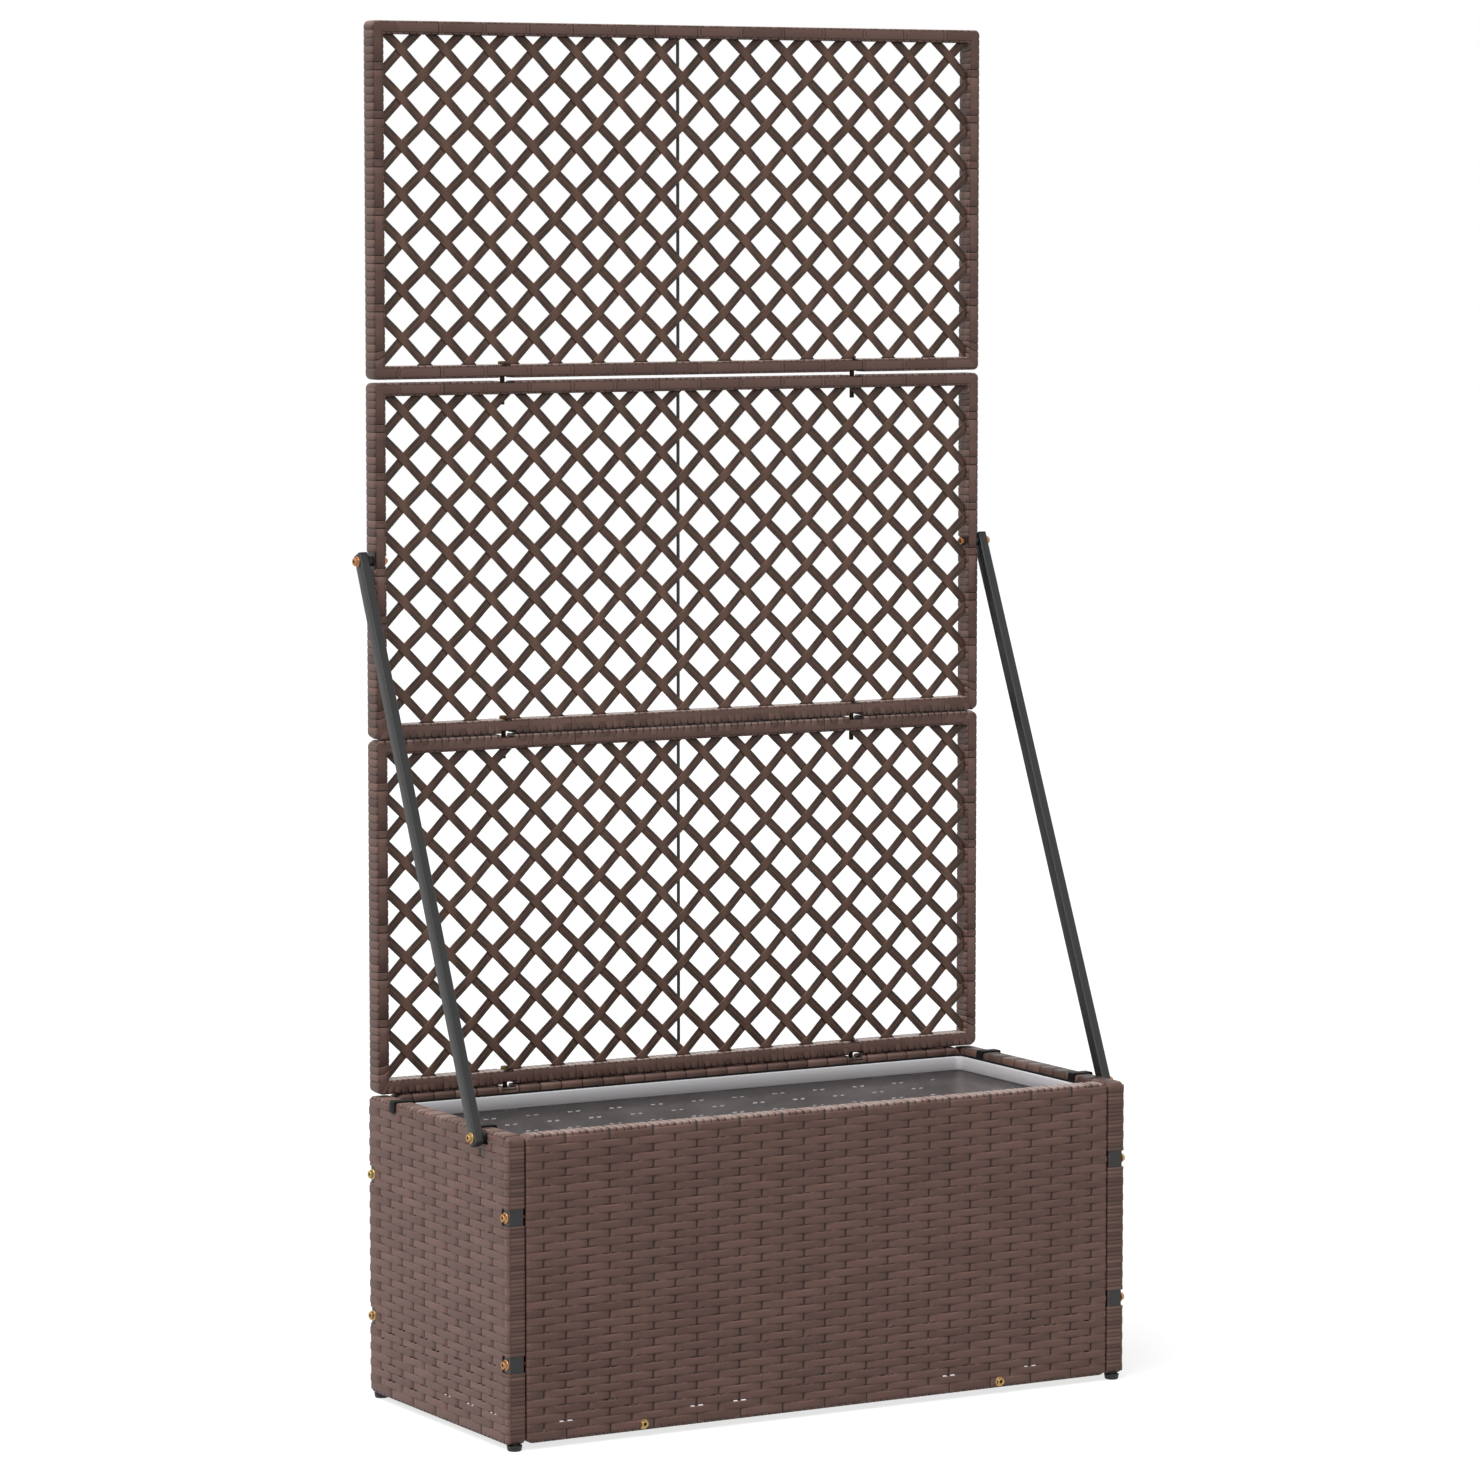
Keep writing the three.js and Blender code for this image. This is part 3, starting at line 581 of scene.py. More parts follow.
def frame_places(width, height, corner, rail_lines, upright_lines, offsets, extra):
    """Places along the outline, with each line's offsets and the extra ones, and arcs between."""
    sides, values, arcs = [], [], []
    for side in range(4):
        length = width if side % 2 == 0 else height
        lines = rail_lines if side % 2 == 0 else upright_lines
        lines = np.asarray(lines) + (width / 2 if side % 2 == 0 else 0)
        if side >= 2:
            lines = length - lines
        more = [length - e if side >= 2 else e for e in extra.get(side, [])]
        places = lines_with_edges(lines, offsets, corner, length - corner, more)
        sides.append(np.full(len(places), side))
        values.append(places)
        arcs.append(np.zeros(len(places), bool))
        angles = np.linspace(0, math.pi / 2, 6)[1:-1]
        sides.append(np.full(len(angles), side))
        values.append(angles)
        arcs.append(np.ones(len(angles), bool))
    return np.concatenate(sides), np.concatenate(values), np.concatenate(arcs)


def side_coordinate(width, height, places):
    """x on the rails or y on the uprights, in the panel's own frame."""
    side, value, is_arc = places
    length = np.where(side % 2 == 0, width, height)
    along = np.where(side >= 2, length - value, value)
    along = np.where(side % 2 == 0, along - width / 2, along)
    return np.where(is_arc, np.nan, along)


def loop_lengths(points):
    """Length along a closed loop from its first point to each of the others and back to it."""
    steps = np.linalg.norm(np.diff(points, axis=0, append=points[:1]), axis=1)
    return np.concatenate([[0], np.cumsum(steps)])


def whole(section):
    """Every side of the section."""
    return np.ones(len(section), bool)


def outer_side(section):
    """The side of the section that lies on the frame's outline."""
    return section[:, 0] < side_skin


def inner_side(section):
    """The side of the section that lies on the frame's opening."""
    return section[:, 0] > rail - side_skin


def face_side(section):
    """The side of the section that lies on the panel's face."""
    return (section[:, 1] > 0) & (section[:, 0] > face_skin)


def wound_frame(
    name, width, height, corner, rail_lines, upright_lines, notches, cuts, origin, turn, lift,
    edge=edge_round, swollen=(), pale=0.0, upright=upright_shade,
):
    """The section carried round the frame and drawn in at each line between two turns.

    inset = groove(distance to the nearest line), or as deep as the tube inside a cut-out. A cut
    is a side, its middle, half its length and the sides of the section that it opens. The lines
    and notches get painted shade, and the sides of the turns that face up get painted light,
    paler by pale and darker where pale is below 0.
    """
    extra = {}
    if len(notches):
        near_notch = [-notch_shoulder, -notch_half, notch_half, notch_shoulder]
        extra[2] = (np.asarray(notches)[:, None] + near_notch + width / 2).ravel().tolist()
    for side, centre, half, _ in cuts:
        base = width / 2 if side % 2 == 0 else 0
        extra.setdefault(side, []).extend([base + e for e in window_edges(centre, half)])
    offsets = [-groove_shoulder, -groove_half, groove_half, groove_shoulder]
    places = frame_places(width, height, corner, rail_lines, upright_lines, offsets, extra)
    side, value, is_arc = places
    along = side_coordinate(width, height, places)
    section, normal = rounded_section(0, rail, section_half, edge)
    count = len(value)
    lines = [np.asarray(rail_lines, float), np.asarray(upright_lines, float)]
    gap = np.full(count, far)
    number = np.zeros(count, int)
    for kind in (0, 1):
        here = (side % 2 == kind) & ~is_arc
        distance = np.abs(along[here][:, None] - lines[kind])
        gap[here] = distance.min(1)
        number[here] = np.searchsorted(lines[kind], along[here]) + turn_numbers * side[here]
    number[is_arc] = turn_numbers - 10 + turn_numbers * side[is_arc]
    groove = np.clip((groove_shoulder - gap) / (groove_shoulder - groove_half), 0, 1)
    depth = np.where(side % 2 == 0, turn_groove, turn_groove * upright / upright_shade)
    if len(notches):
        at_top = (side == 2) & ~is_arc
        to_notch = np.full(count, far)
        to_notch[at_top] = np.abs(along[at_top][:, None] - np.asarray(notches)).min(1)
        near = to_notch < notch_shoulder + notch_margin
        depth[near] = notch_depth
        groove[near] = np.clip((notch_shoulder - to_notch[near]) / (notch_shoulder - notch_half), 0, 1)
    inset = np.repeat((groove * depth + turn_clearance)[:, None], len(section), 1)
    inset[(np.isin(side, swollen) & ~is_arc)[:, None] & outer_side(section)] -= swell
    for cut_side, centre, half, reach in cuts:
        here = (side == cut_side) & ~is_arc
        here[here] = inside(along[here], centre, half)
        inset[here[:, None] & reach(section)] = hidden
    d = section[:, 0] - normal[:, 0] * inset
    z = section[:, 1] - normal[:, 1] * inset
    flat = around_frame(width, height, corner, places, d)
    points = np.concatenate([flat, z[..., None]], -1)
    # painted shade in the lines between turns, and full shade in the notches
    darkness = np.where(depth > turn_groove + 0.01, 1.0, np.where(side % 2 == 0, rail_shade, upright))
    shade = np.repeat((1 - groove * darkness)[:, None], len(section), 1)
    tone = np.repeat(random.random(5 * turn_numbers)[number][:, None], len(section), 1)
    # painted light: the tone of the sides of the turns that face up is raised by pale, and lowered where
    # pale is below 0, except in the lines
    upwards = np.where(is_arc, 0, np.where(side == 2, -1, np.where(side == 0, 1, 0)))[:, None]
    tone = tone + pale * np.clip(upwards * normal[:, 0], 0, 1) ** 2 * (1 - groove[:, None])
    uv = np.stack(np.meshgrid(loop_lengths(section), loop_lengths(points[:, 0]), indexing="xy"), -1)
    marks = {"shade": shade[:, ::-1], "tone": tone[:, ::-1]}
    points = stand(points, origin, turn, lift)[:, ::-1]
    return add_surface(name, points, uv, marks, wrap=(True, True))


winding_brown = strip_material(
    "wound strip", brown=(0.14, 0.081, 0.066, 1), deep=(0.014, 0.008, 0.007, 1), spread=0.6
)
trellis_bolt_x = 242.0
bolt_window_half = 10.0
upright_turns = edge_round + row_pitch / 2 * np.arange(2 * row_count + 1)

for side, (width, origin, turn) in panel_planes.items():
    wires = first_wire[side] + wire_pitch[side] * np.arange(-1, wire_count[side] + 1)
    plain_rim = side in ("right", "back")
    ticks = wires if plain_rim else (wires[:, None] + wire_pitch[side] / 3 * np.arange(3)).ravel()
    ticks = ticks[np.abs(ticks) < width / 2 - panel_corner]
    cuts = []
    for y in bolt_rows:
        reach = whole if side in strut_places else outer_side
        cuts += [(1, y, window_half, reach), (3, y, window_half, reach)]
    if side in strut_places:
        cuts.append((2, strut_places[side], strut_window_half, face_side))
    if side == "back":
        cuts += [(2, x, bolt_window_half, outer_side) for x in (-trellis_bolt_x, trellis_bolt_x)]
    piece = wound_frame(
        f"{side}_winding", width, panel_height, panel_corner, ticks, upright_turns,
        [] if plain_rim else wires, cuts, origin, turn, foot_height,
        swollen=(2,) if side == "back" else (), pale=rim_top_light[side], upright=box_upright_shade,
    )
    finish_piece(piece, winding_brown, "planter", "strip", weave_nodes[side])

# ---------------------------------------------------------------- the trellis windings and leader strips
# Each trellis frame is wound like the box's. A flat strip runs round its face over the turns,
# tied down at each lattice strip by a turn that crosses it.

trellis_width = 836.0
trellis_height = 419.0
trellis_y = 167.5
trellis_lifts = {"bottom": 367.5, "middle": 790.0, "top": 1212.5}
trellis_corner = 7.0
# painted light on the upward turns of the trellis frames
trellis_top_light = 2.4
first_rail_line, first_line_margin = 12.0, 8.0
shank_window_half, strut_shank_half = 7.0, 6.0
node_x = 58.0
first_node_x = -377.0
rail_tie_count, upright_tie_count = 15, 8
tie_shift = 9.0
leader_low, leader_high = 2.25, 13.75
leader_top, leader_bottom = 12.0, 10.4
leader_rim, leader_rim_shade = 0.6, 0.45
rail_tie_half, upright_tie_half = 2.3, 4.69
first_upright_tie, upright_tie_pitch = 28.0, 56.3
tie_groove, tie_line_half, tie_depth = 0.7, 0.35, 0.8
tie_numbers = 40
upright_pitch = upright_tie_pitch / 6

leader_brown = strip_material("leader strip", brown=(0.146, 0.083, 0.069, 1), spread=0.3)
trellis_rail_lines = np.arange(
    -trellis_width / 2 + first_rail_line, trellis_width / 2 - first_line_margin, turn_pitch
)
trellis_upright_lines = np.arange(
    first_upright_tie - 1.5 * upright_pitch, trellis_height - first_line_margin, upright_pitch
)


def leader_strip(name, origin, lift):
    """A flat section carried round the face and sunk in two fine lines at each tie."""
    ties_rail = first_node_x - tie_shift + node_x * np.arange(rail_tie_count)
    ties_upright = first_upright_tie + upright_tie_pitch * np.arange(upright_tie_count)
    near_line = (-tie_groove, -tie_line_half, tie_line_half, tie_groove)
    offsets = [0, 14, 28]
    for half in (rail_tie_half, upright_tie_half):
        offsets += [end * (half + d) for end in (-1, 1) for d in near_line]
    places = frame_places(
        trellis_width, trellis_height, trellis_corner, ties_rail, ties_upright, offsets, {}
    )
    side, value, is_arc = places
    along = side_coordinate(trellis_width, trellis_height, places)
    across = np.array([
        leader_low, leader_low + 0.5, leader_low + 1.6, 8.0,
        leader_high - 1.6, leader_high - 0.5, leader_high,
    ])
    top = np.array([0.9, 0.35, 0.05, 0.0, 0.05, 0.35, 0.9])
    back = [[leader_high, leader_bottom], [leader_low, leader_bottom]]
    section = np.concatenate([np.stack([across, leader_top - top], -1), back])
    gap = np.full(len(value), far)
    number = np.zeros(len(value), int)
    for kind, lines, half in ((0, ties_rail, rail_tie_half), (1, ties_upright, upright_tie_half)):
        here = (side % 2 == kind) & ~is_arc
        gap[here] = np.abs(np.abs(along[here][:, None] - lines).min(1) - half)
        number[here] = np.searchsorted(lines, along[here]) + tie_numbers * side[here]
    groove = np.clip((tie_groove - gap) / (tie_groove - tie_line_half), 0, 1)[:, None]
    d = np.repeat(section[None, :, 0], len(value), 0)
    z = section[:, 1] - tie_depth * groove * (section[:, 1] > leader_bottom + 0.1)
    flat = around_frame(trellis_width, trellis_height, trellis_corner, places, d)
    points = np.concatenate([flat, z[..., None]], -1)
    # painted shade: the tie lines and both borders of the strip are darkened
    border = (section[:, 0] < leader_low + leader_rim) | (section[:, 0] > leader_high - leader_rim)
    shade = np.minimum(1 - groove, np.where(border, leader_rim_shade, 1.0))
    tone = np.repeat(random.random(10 * tie_numbers)[number][:, None], len(section), 1)
    uv = np.stack(np.meshgrid(loop_lengths(points[:, 0]), loop_lengths(section), indexing="ij"), -1)
    points = stand(points, origin, 0.0, lift)
    return add_surface(name, points, uv, {"shade": shade, "tone": tone}, wrap=(True, True))


for tier, lift in trellis_lifts.items():
    cuts = []
    for x in (-trellis_bolt_x, trellis_bolt_x):
        cuts += [(0, x, bolt_window_half, outer_side), (0, x, shank_window_half, inner_side)]
        if tier != "top":
            cuts.append((2, x, bolt_window_half, outer_side))
    if tier == "middle":
        cuts += [(s, trellis_height / 2, bolt_window_half, outer_side) for s in (1, 3)]
        cuts += [(s, trellis_height / 2, strut_shank_half, inner_side) for s in (1, 3)]
    origin = (0.0, trellis_y)
    wound = wound_frame(
        f"trellis_{tier}_winding", trellis_width, trellis_height, trellis_corner,
        trellis_rail_lines + (turn_pitch / 2 if tier == "middle" else 0), trellis_upright_lines,
        [], cuts, origin, 0.0, lift, pale=trellis_top_light,
        edge=trellis_edge, swollen={"bottom": (0, 2), "middle": (0,), "top": ()}[tier],
    )
    finish_piece(wound, winding_brown, "planter", "strip", f"trellis_{tier}_weave")
    strip = leader_strip(f"trellis_{tier}_leader", origin, lift)
    finish_piece(strip, leader_brown, "planter", "strip", f"trellis_{tier}_weave")

# ---------------------------------------------------------------- the lattice
# Ribbed strip woven on the slant inside each trellis frame, over and under at every crossing,
# with its ends turned round the tubes.

lattice_half_x = 29.0
lattice_half_y = 28.15
lattice_columns = 14
lattice_rows = 7
lattice_first_row = 34.0
opening_x = 402.8
opening_low, opening_high = 15.2, 403.8
lattice_middle_z = 5.25
lattice_swing = 1.15
lattice_thickness = 2.1
lattice_width = 11.0
rib_line, rib_depth = 3.2, 0.5
middle_shade, ridge_shade, groove_dark, crossing_shade, back_shade = 0.55, 0.38, 0.05, 0.95, 0.7
shortest_strip = 6.0
samples_per_step = 8

lattice_brown = strip_material(
    "lattice strip", brown=(0.155, 0.086, 0.062, 1), deep=(0.036, 0.027, 0.022, 1), spread=0.3, lines=0.3
)


def lattice_strip(lean, x_middle):
    """A ribbon along a slanting line, clipped at the frame for each line across it.

    z = middle + lean swing cos(pi n), with n the crossing number along the strip, and two
    grooves run along its face except on the crossings.
    """
    direction = np.array([lattice_half_x, -lean * lattice_half_y])
    step = np.hypot(*direction)
    direction = direction / step
    normal = np.array([-direction[1], direction[0]])
    half = lattice_width / 2
    from_edge = np.array([0, 0.5, 2.4, rib_line, 4.0])
    rise = np.array([0.35, 0.75, 1.0, 0.45, 1.0])
    w = np.concatenate([from_edge - half, half - from_edge[::-1], [half - 0.4, 2.0, -2.0, 0.4 - half]])
    local_z = np.concatenate([rise, rise[::-1], [-0.8, -1.0, -1.0, -0.8]]) * lattice_thickness / 2
    centre = np.array([x_middle, trellis_height / 2])
    base = centre + w[:, None] * normal
    limits_x = np.stack([-opening_x - base[:, 0], opening_x - base[:, 0]]) / direction[0]
    limits_y = np.stack([opening_low - base[:, 1], opening_high - base[:, 1]]) / direction[1]
    limits_x, limits_y = np.sort(limits_x, axis=0), np.sort(limits_y, axis=0)
    start = np.maximum(limits_x[0], limits_y[0])
    end = np.minimum(limits_x[1], limits_y[1])
    if np.median(end - start) < shortest_strip:
        return None
    end = np.maximum(end, start + 0.05)
    count = max(4, int(np.median(end - start) / step * samples_per_step))
    t = start + (end - start) * np.linspace(0, 1, count)[:, None]
    flat = base + t[..., None] * direction
    phase = (flat[..., 0] - first_node_x) / lattice_half_x
    on_crossing = np.clip(2.2 * np.abs(np.cos(np.pi * phase)) - 1.2, 0, 1)
    groove = (np.abs(np.abs(w) - (half - rib_line)) < 0.1) & (local_z > 0)
    z = lattice_middle_z + lean * lattice_swing * np.cos(np.pi * phase) + local_z
    z = np.where(groove, z + rib_depth * on_crossing, z)
    points = np.concatenate([flat, z[..., None]], -1)
    # painted shade in the grooves, along the edges and on the back face; between the crossings the ribs and
    # the middle are also darkened, and on the crossings the strip keeps nearly its full brown
    edge = np.abs(w) > half - 0.6
    raised = np.where(np.abs(w) < half - 3.5, middle_shade, ridge_shade)
    between = np.where(edge | groove, groove_dark, raised)
    shade = between + (crossing_shade - between) * on_crossing
    shade = np.where(local_z < 0, back_shade, shade)
    tone = np.full(shade.shape, random.random())
    u = np.concatenate([t, t[:, :1]], 1)
    v = np.repeat(np.concatenate([w, w[:1]])[None, :], count, 0)
    return points, shade, tone, np.stack([u, v], -1)


def join_grids(grids, wrap_rows=False):
    """Points and faces of several pipes in one: each grid wraps in its columns.

    Its two ends are closed with a face, unless its last row joins the first.
    """
    faces, start = [], 0
    for points in grids:
        rows, columns = points.shape[:2]
        faces += (grid_faces(rows, columns, wrap_rows, True).reshape(-1, 4) + start).tolist()
        if not wrap_rows:
            first = [start + i for i in range(columns)]
            faces += [first, [(rows - 1) * columns + i for i in reversed(first)]]
        start += rows * columns
    return np.concatenate([points.reshape(-1, 3) for points in grids]), faces


def joined_strips(name, strips, origin, lift):
    """One mesh for all the strips of a lattice, each closed at both ends."""
    grids, shades, tones, places = zip(*strips)
    points, faces = join_grids(grids)
    uv = []
    for place in places:
        uv += [corner_coordinates(place), np.zeros((2 * (place.shape[1] - 1), 2))]
    marks = {
        "shade": np.concatenate([shade.ravel() for shade in shades]),
        "tone": np.concatenate([tone.ravel() for tone in tones]),
    }
    points = stand(points, origin, 0.0, lift)
    return put_mesh(name, points, faces, np.concatenate(uv), marks, flat_ends=True)


for tier, lift in trellis_lifts.items():
    strips = []
    steps_down = (trellis_height - lattice_first_row - trellis_height / 2) / lattice_half_y
    for lean in (1, -1):
        for k in range(-lattice_rows, lattice_columns + lattice_rows):
            strip = lattice_strip(lean, first_node_x + (2 * k + lean * steps_down) * lattice_half_x)
            if strip is not None:
                strips.append(strip)
    piece = joined_strips(f"trellis_{tier}_lattice", strips, (0.0, trellis_y), lift)
    finish_piece(piece, lattice_brown, "planter", "strip", f"trellis_{tier}_weave")

# ---------------------------------------------------------------- the tube frames
# Each panel is a welded frame of square steel tube with a black powder coat. It shows only where
# the weave is left open for a bolt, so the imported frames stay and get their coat.


def coat_material(name, colour, roughness, grain, depth, gloss=0.42):
    """A coat whose colour, gloss and skin vary with a fine noise over the object."""
    made, tree, shader = new_material(name)
    place = add_node(tree, "ShaderNodeTexCoord").outputs["Object"]
    cloud = noise(tree, place, 45.0, 3.0)
    darker, lighter = [tuple(c * gain for c in colour[:3]) + (1,) for gain in (0.8, 1.25)]
    set_inputs(tree, shader, {
        "Base Color": blended(tree, cloud, darker, lighter),
        "Roughness": ranged(tree, cloud, roughness - 0.06, roughness + 0.06),
        "Specular IOR Level": gloss,
        "Normal": bumped(tree, noise(tree, place, grain), 0.25, depth),
    })
    return made


black_coat = coat_material("powder coat", (0.012, 0.012, 0.0125, 1), 0.42, 1400.0, 0.0001, gloss=0.5)
for name, cad_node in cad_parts.items():
    if name.endswith("_frame"):
        cad_node.data.materials.clear()
        cad_node.data.materials.append(black_coat)

# ---------------------------------------------------------------- the bolts
# M6 flange bolts of yellow-plated steel: a chamfered hexagon head with a dished top on a round
# flange, and a rolled thread. The bolts that meet no threaded tube carry a nut.

bolt_radius = 3.0
flange_radius = 6.5
head_flat = 4.33
head_top = 5.15
copper = (0.4, 0.19, 0.085, 1)
straw = (0.46, 0.34, 0.13, 1)
recess_shade = 0.12
shank_shade = 0.3
# the trellis bolts are drawn much darker, near black
trellis_bolt_darkening = 0.22
thread_pitch = 1.0
thread_depth = 0.32
thread_length = 15.0
around = 36
nut_height, nut_flat = 5.0, 4.55
side_bolt_x, corner_y = 417.8, 171.0
bar_x, bar_bolt_y, bar_bolt_z = 243.0, 176.8, 15.0
trellis_bolt_y, trellis_bolt_rise = 169.0, 14.5
strut_foot = (-119.0, 356.0)
strut_top = (167.5, 999.5)
strut_outer_x = 434.8


def add_joined(name, grids, wrap_rows=False, crease=35.0, marks=None):
    """One mesh of several pipes, sharp where its faces meet at more than the crease in degrees."""
    piece = put_mesh(name, *join_grids(grids, wrap_rows), marks=marks)
    piece.data.set_sharp_from_angle(angle=math.radians(crease))
    return piece


def hexagon(angle, flat):
    """Radius of a hexagon whose flats lie at a distance from the axis."""
    return flat / np.cos((angle + math.pi / 6) % (math.pi / 3) - math.pi / 6)


def revolved(outline, hexagonal=None, flat=head_flat, count=around):
    """An outline of (radius, height) turned about z, its radius held to a hexagon where marked."""
    outline = np.asarray(outline, float)
    angle = np.arange(count) * 2 * math.pi / count
    radius = np.repeat(outline[:, :1], count, 1)
    if hexagonal is not None:
        limit = np.minimum(radius, hexagon(angle, flat)[None, :])
        radius = np.where(np.asarray(hexagonal)[:, None], limit, radius)
    height = np.repeat(outline[:, 1:2], count, 1)
    return np.stack([radius * np.cos(angle), radius * np.sin(angle), height], -1)


def facing(points, place, axis):
    """Turns a piece made along z towards an axis and moves it to its place."""
    ez = np.asarray(axis, float)
    ey = np.array([0.0, 0, 1]) if abs(ez[2]) < 0.5 else np.array([0.0, 1, 0])
    ex = np.cross(ey, ez)
    return np.asarray(place, float) + points[..., :1] * ex + points[..., 1:2] * ey + points[..., 2:] * ez


def bolt_grids(length, nut_at=None):
    """Head and flange as one outline, then the shank, whose radius winds with the thread.

    r = radius - depth |2 frac(z / pitch - angle / turn) - 1| along the threaded end.
    """
    head = [
        (0.05, 3.2), (1.3, 3.2), (1.7, 3.5), (2.0, 4.6), (2.4, 5.0), (3.1, head_top), (4.1, 5.1),
        (5.0, 4.5), (5.0, 2.0), (5.0, 1.75), (5.9, 1.5), (6.3, 1.2), (flange_radius, 0.85),
        (6.4, 0.3), (6.1, 0.15), (3.2, 0.15), (3.0, -0.2),
    ]
    top = revolved(head, [2.0 <= h <= head_top and r > bolt_radius for r, h in head])
    z = np.arange(-length + thread_length, -length + 0.4, -thread_pitch / 4)
    angle = np.arange(around) * 2 * math.pi / around
    wave = np.abs(2 * ((z[:, None] / thread_pitch - angle / (2 * math.pi)) % 1) - 1)
    radius = bolt_radius - thread_depth * wave
    thread = np.stack([radius * np.cos(angle), radius * np.sin(angle), np.repeat(z[:, None], around, 1)], -1)
    tip = revolved([(2.2, -length), (0.05, -length)])
    grids = [np.concatenate([top, thread, tip])]
    shades = [np.ones(grids[0].shape[:2])]
    # painted shade in the dished top of the head, and under the flange and over the shank
    shades[0][:4] = recess_shade
    shades[0][15:] = shank_shade
    if nut_at is not None:
        low, high = -nut_at - nut_height, -nut_at
        rows = [(bolt_radius - 0.4, high), (4.3, high), (5.25, high - 0.5)]
        rows += [(5.25, low + 0.5), (4.3, low), (bolt_radius - 0.4, low)]
        grids.append(revolved(rows, [False, True, True, True, True, False], flat=nut_flat))
        shades.append(np.ones(grids[1].shape[:2]))
    return grids, shades


def plated_material():
    """Yellow plating: its tint drifts from straw to copper over the bolt, and its gloss with it."""
    made, tree, shader = new_material("yellow plating")
    place = add_node(tree, "ShaderNodeTexCoord").outputs["Object"]
    drift = noise(tree, place, 160.0, 3.0)
    bath = noise(tree, place, 9.0, 0.0)
    mixed = add_node(tree, "ShaderNodeMix", {0: 0.45, 2: bath, 3: drift}, data_type="FLOAT").outputs[0]
    tint = add_node(tree, "ShaderNodeValToRGB", {"Fac": mixed})
    for stop, (position, colour) in zip(tint.color_ramp.elements, ((0.42, copper), (0.6, straw))):
        stop.position = position
        stop.color = colour
    set_inputs(tree, shader, {
        "Base Color": scaled(tree, tint.outputs[0], point_mark(tree, "shade")),
        "Metallic": 1.0,
        "Roughness": ranged(tree, drift, 0.3, 0.48),
    })
    return made


plating = plated_material()
bolt_list = []
for side, sx in (("left", -1), ("right", 1)):
    for end, sy in (("front", -1), ("back", 1)):
        for level_name, y in zip(("lower", "upper"), bolt_rows):
            place = (sx * side_bolt_x, sy * corner_y, foot_height + y)
            bolt_list.append((f"{end}_{side}_{level_name}_bolt", place, (sx, 0, 0), 35.0, None))
        place = (sx * bar_x, sy * bar_bolt_y, bar_bolt_z)
        bolt_list.append((f"{end}_{side}_bar_bolt", place, (0, sy, 0), 32.1, 25.1))
    for tier, lift in trellis_lifts.items():
        place = (sx * trellis_bolt_x, trellis_bolt_y, lift + trellis_bolt_rise)
        bolt_list.append((f"trellis_{tier}_{side}_bolt", place, (0, 0, 1), 46.5, None))
    foot_place, top_place = (sx * strut_outer_x, *strut_foot), (sx * strut_outer_x, *strut_top)
    bolt_list.append((f"{side}_strut_foot_bolt", foot_place, (sx, 0, 0), 35.8, None))
    bolt_list.append((f"{side}_strut_top_bolt", top_place, (sx, 0, 0), 38.45, 31.45))
for name, place, axis, length, nut_at in bolt_list:
    grids, shades = bolt_grids(length, nut_at)
    grids = [facing(grid, place, axis) for grid in grids]
    # the trellis bolts' colour is made much darker, near black
    if name.startswith("trellis"):
        shades = [trellis_bolt_darkening * shade for shade in shades]
    marks = {"shade": np.concatenate([shade.ravel() for shade in shades])}
    finish_piece(add_joined(f"{name}_made", grids, marks=marks), plating, "planter", "zinc", name)

# ---------------------------------------------------------------- the struts
# A length of square tube on each side, from the box's top rail to the middle trellis panel. Its
# cut ends have plastic caps, and a plastic spacer on each bolt holds it off the panels.

strut_width, strut_thick, strut_wall, strut_edge = 16.0, 12.0, 1.2, 2.0
strut_end = 7.5
strut_span = math.hypot(strut_top[0] - strut_foot[0], strut_top[1] - strut_foot[1])
strut_lean = math.atan2(strut_top[1] - strut_foot[1], strut_top[0] - strut_foot[0])
strut_middle_x = strut_outer_x - strut_thick / 2
trellis_side_x = 416.5
black_moulding = coat_material("black moulding", (0.009, 0.009, 0.0095, 1), 0.5, 2600.0, 0.00008)


def strut_section(inset, y):
    """The tube's outline, drawn in by inset, at a place y along it, as points (x, y, z)."""
    half_x, half_z = strut_thick / 2 - inset, strut_width / 2 - inset
    radius = max(strut_edge - inset, 0.5)
    points, _ = rounded_section(-half_x, half_x, half_z, radius, 4)
    return np.stack([points[:, 0], np.full(len(points), y), points[:, 1]], -1)


def on_strut(points, sx):
    """From the strut's own frame, y along it, into the planter's."""
    c, s = math.cos(strut_lean), math.sin(strut_lean)
    x, y, z = np.moveaxis(points, -1, 0)
    along, up = strut_foot[0] + c * y - s * z, strut_foot[1] + s * y + c * z
    return np.stack([sx * strut_middle_x + x, along, up], -1)


def stack(rows):
    """Sections one after the other, each given as (inset, y)."""
    return np.stack([strut_section(inset, y) for inset, y in rows])


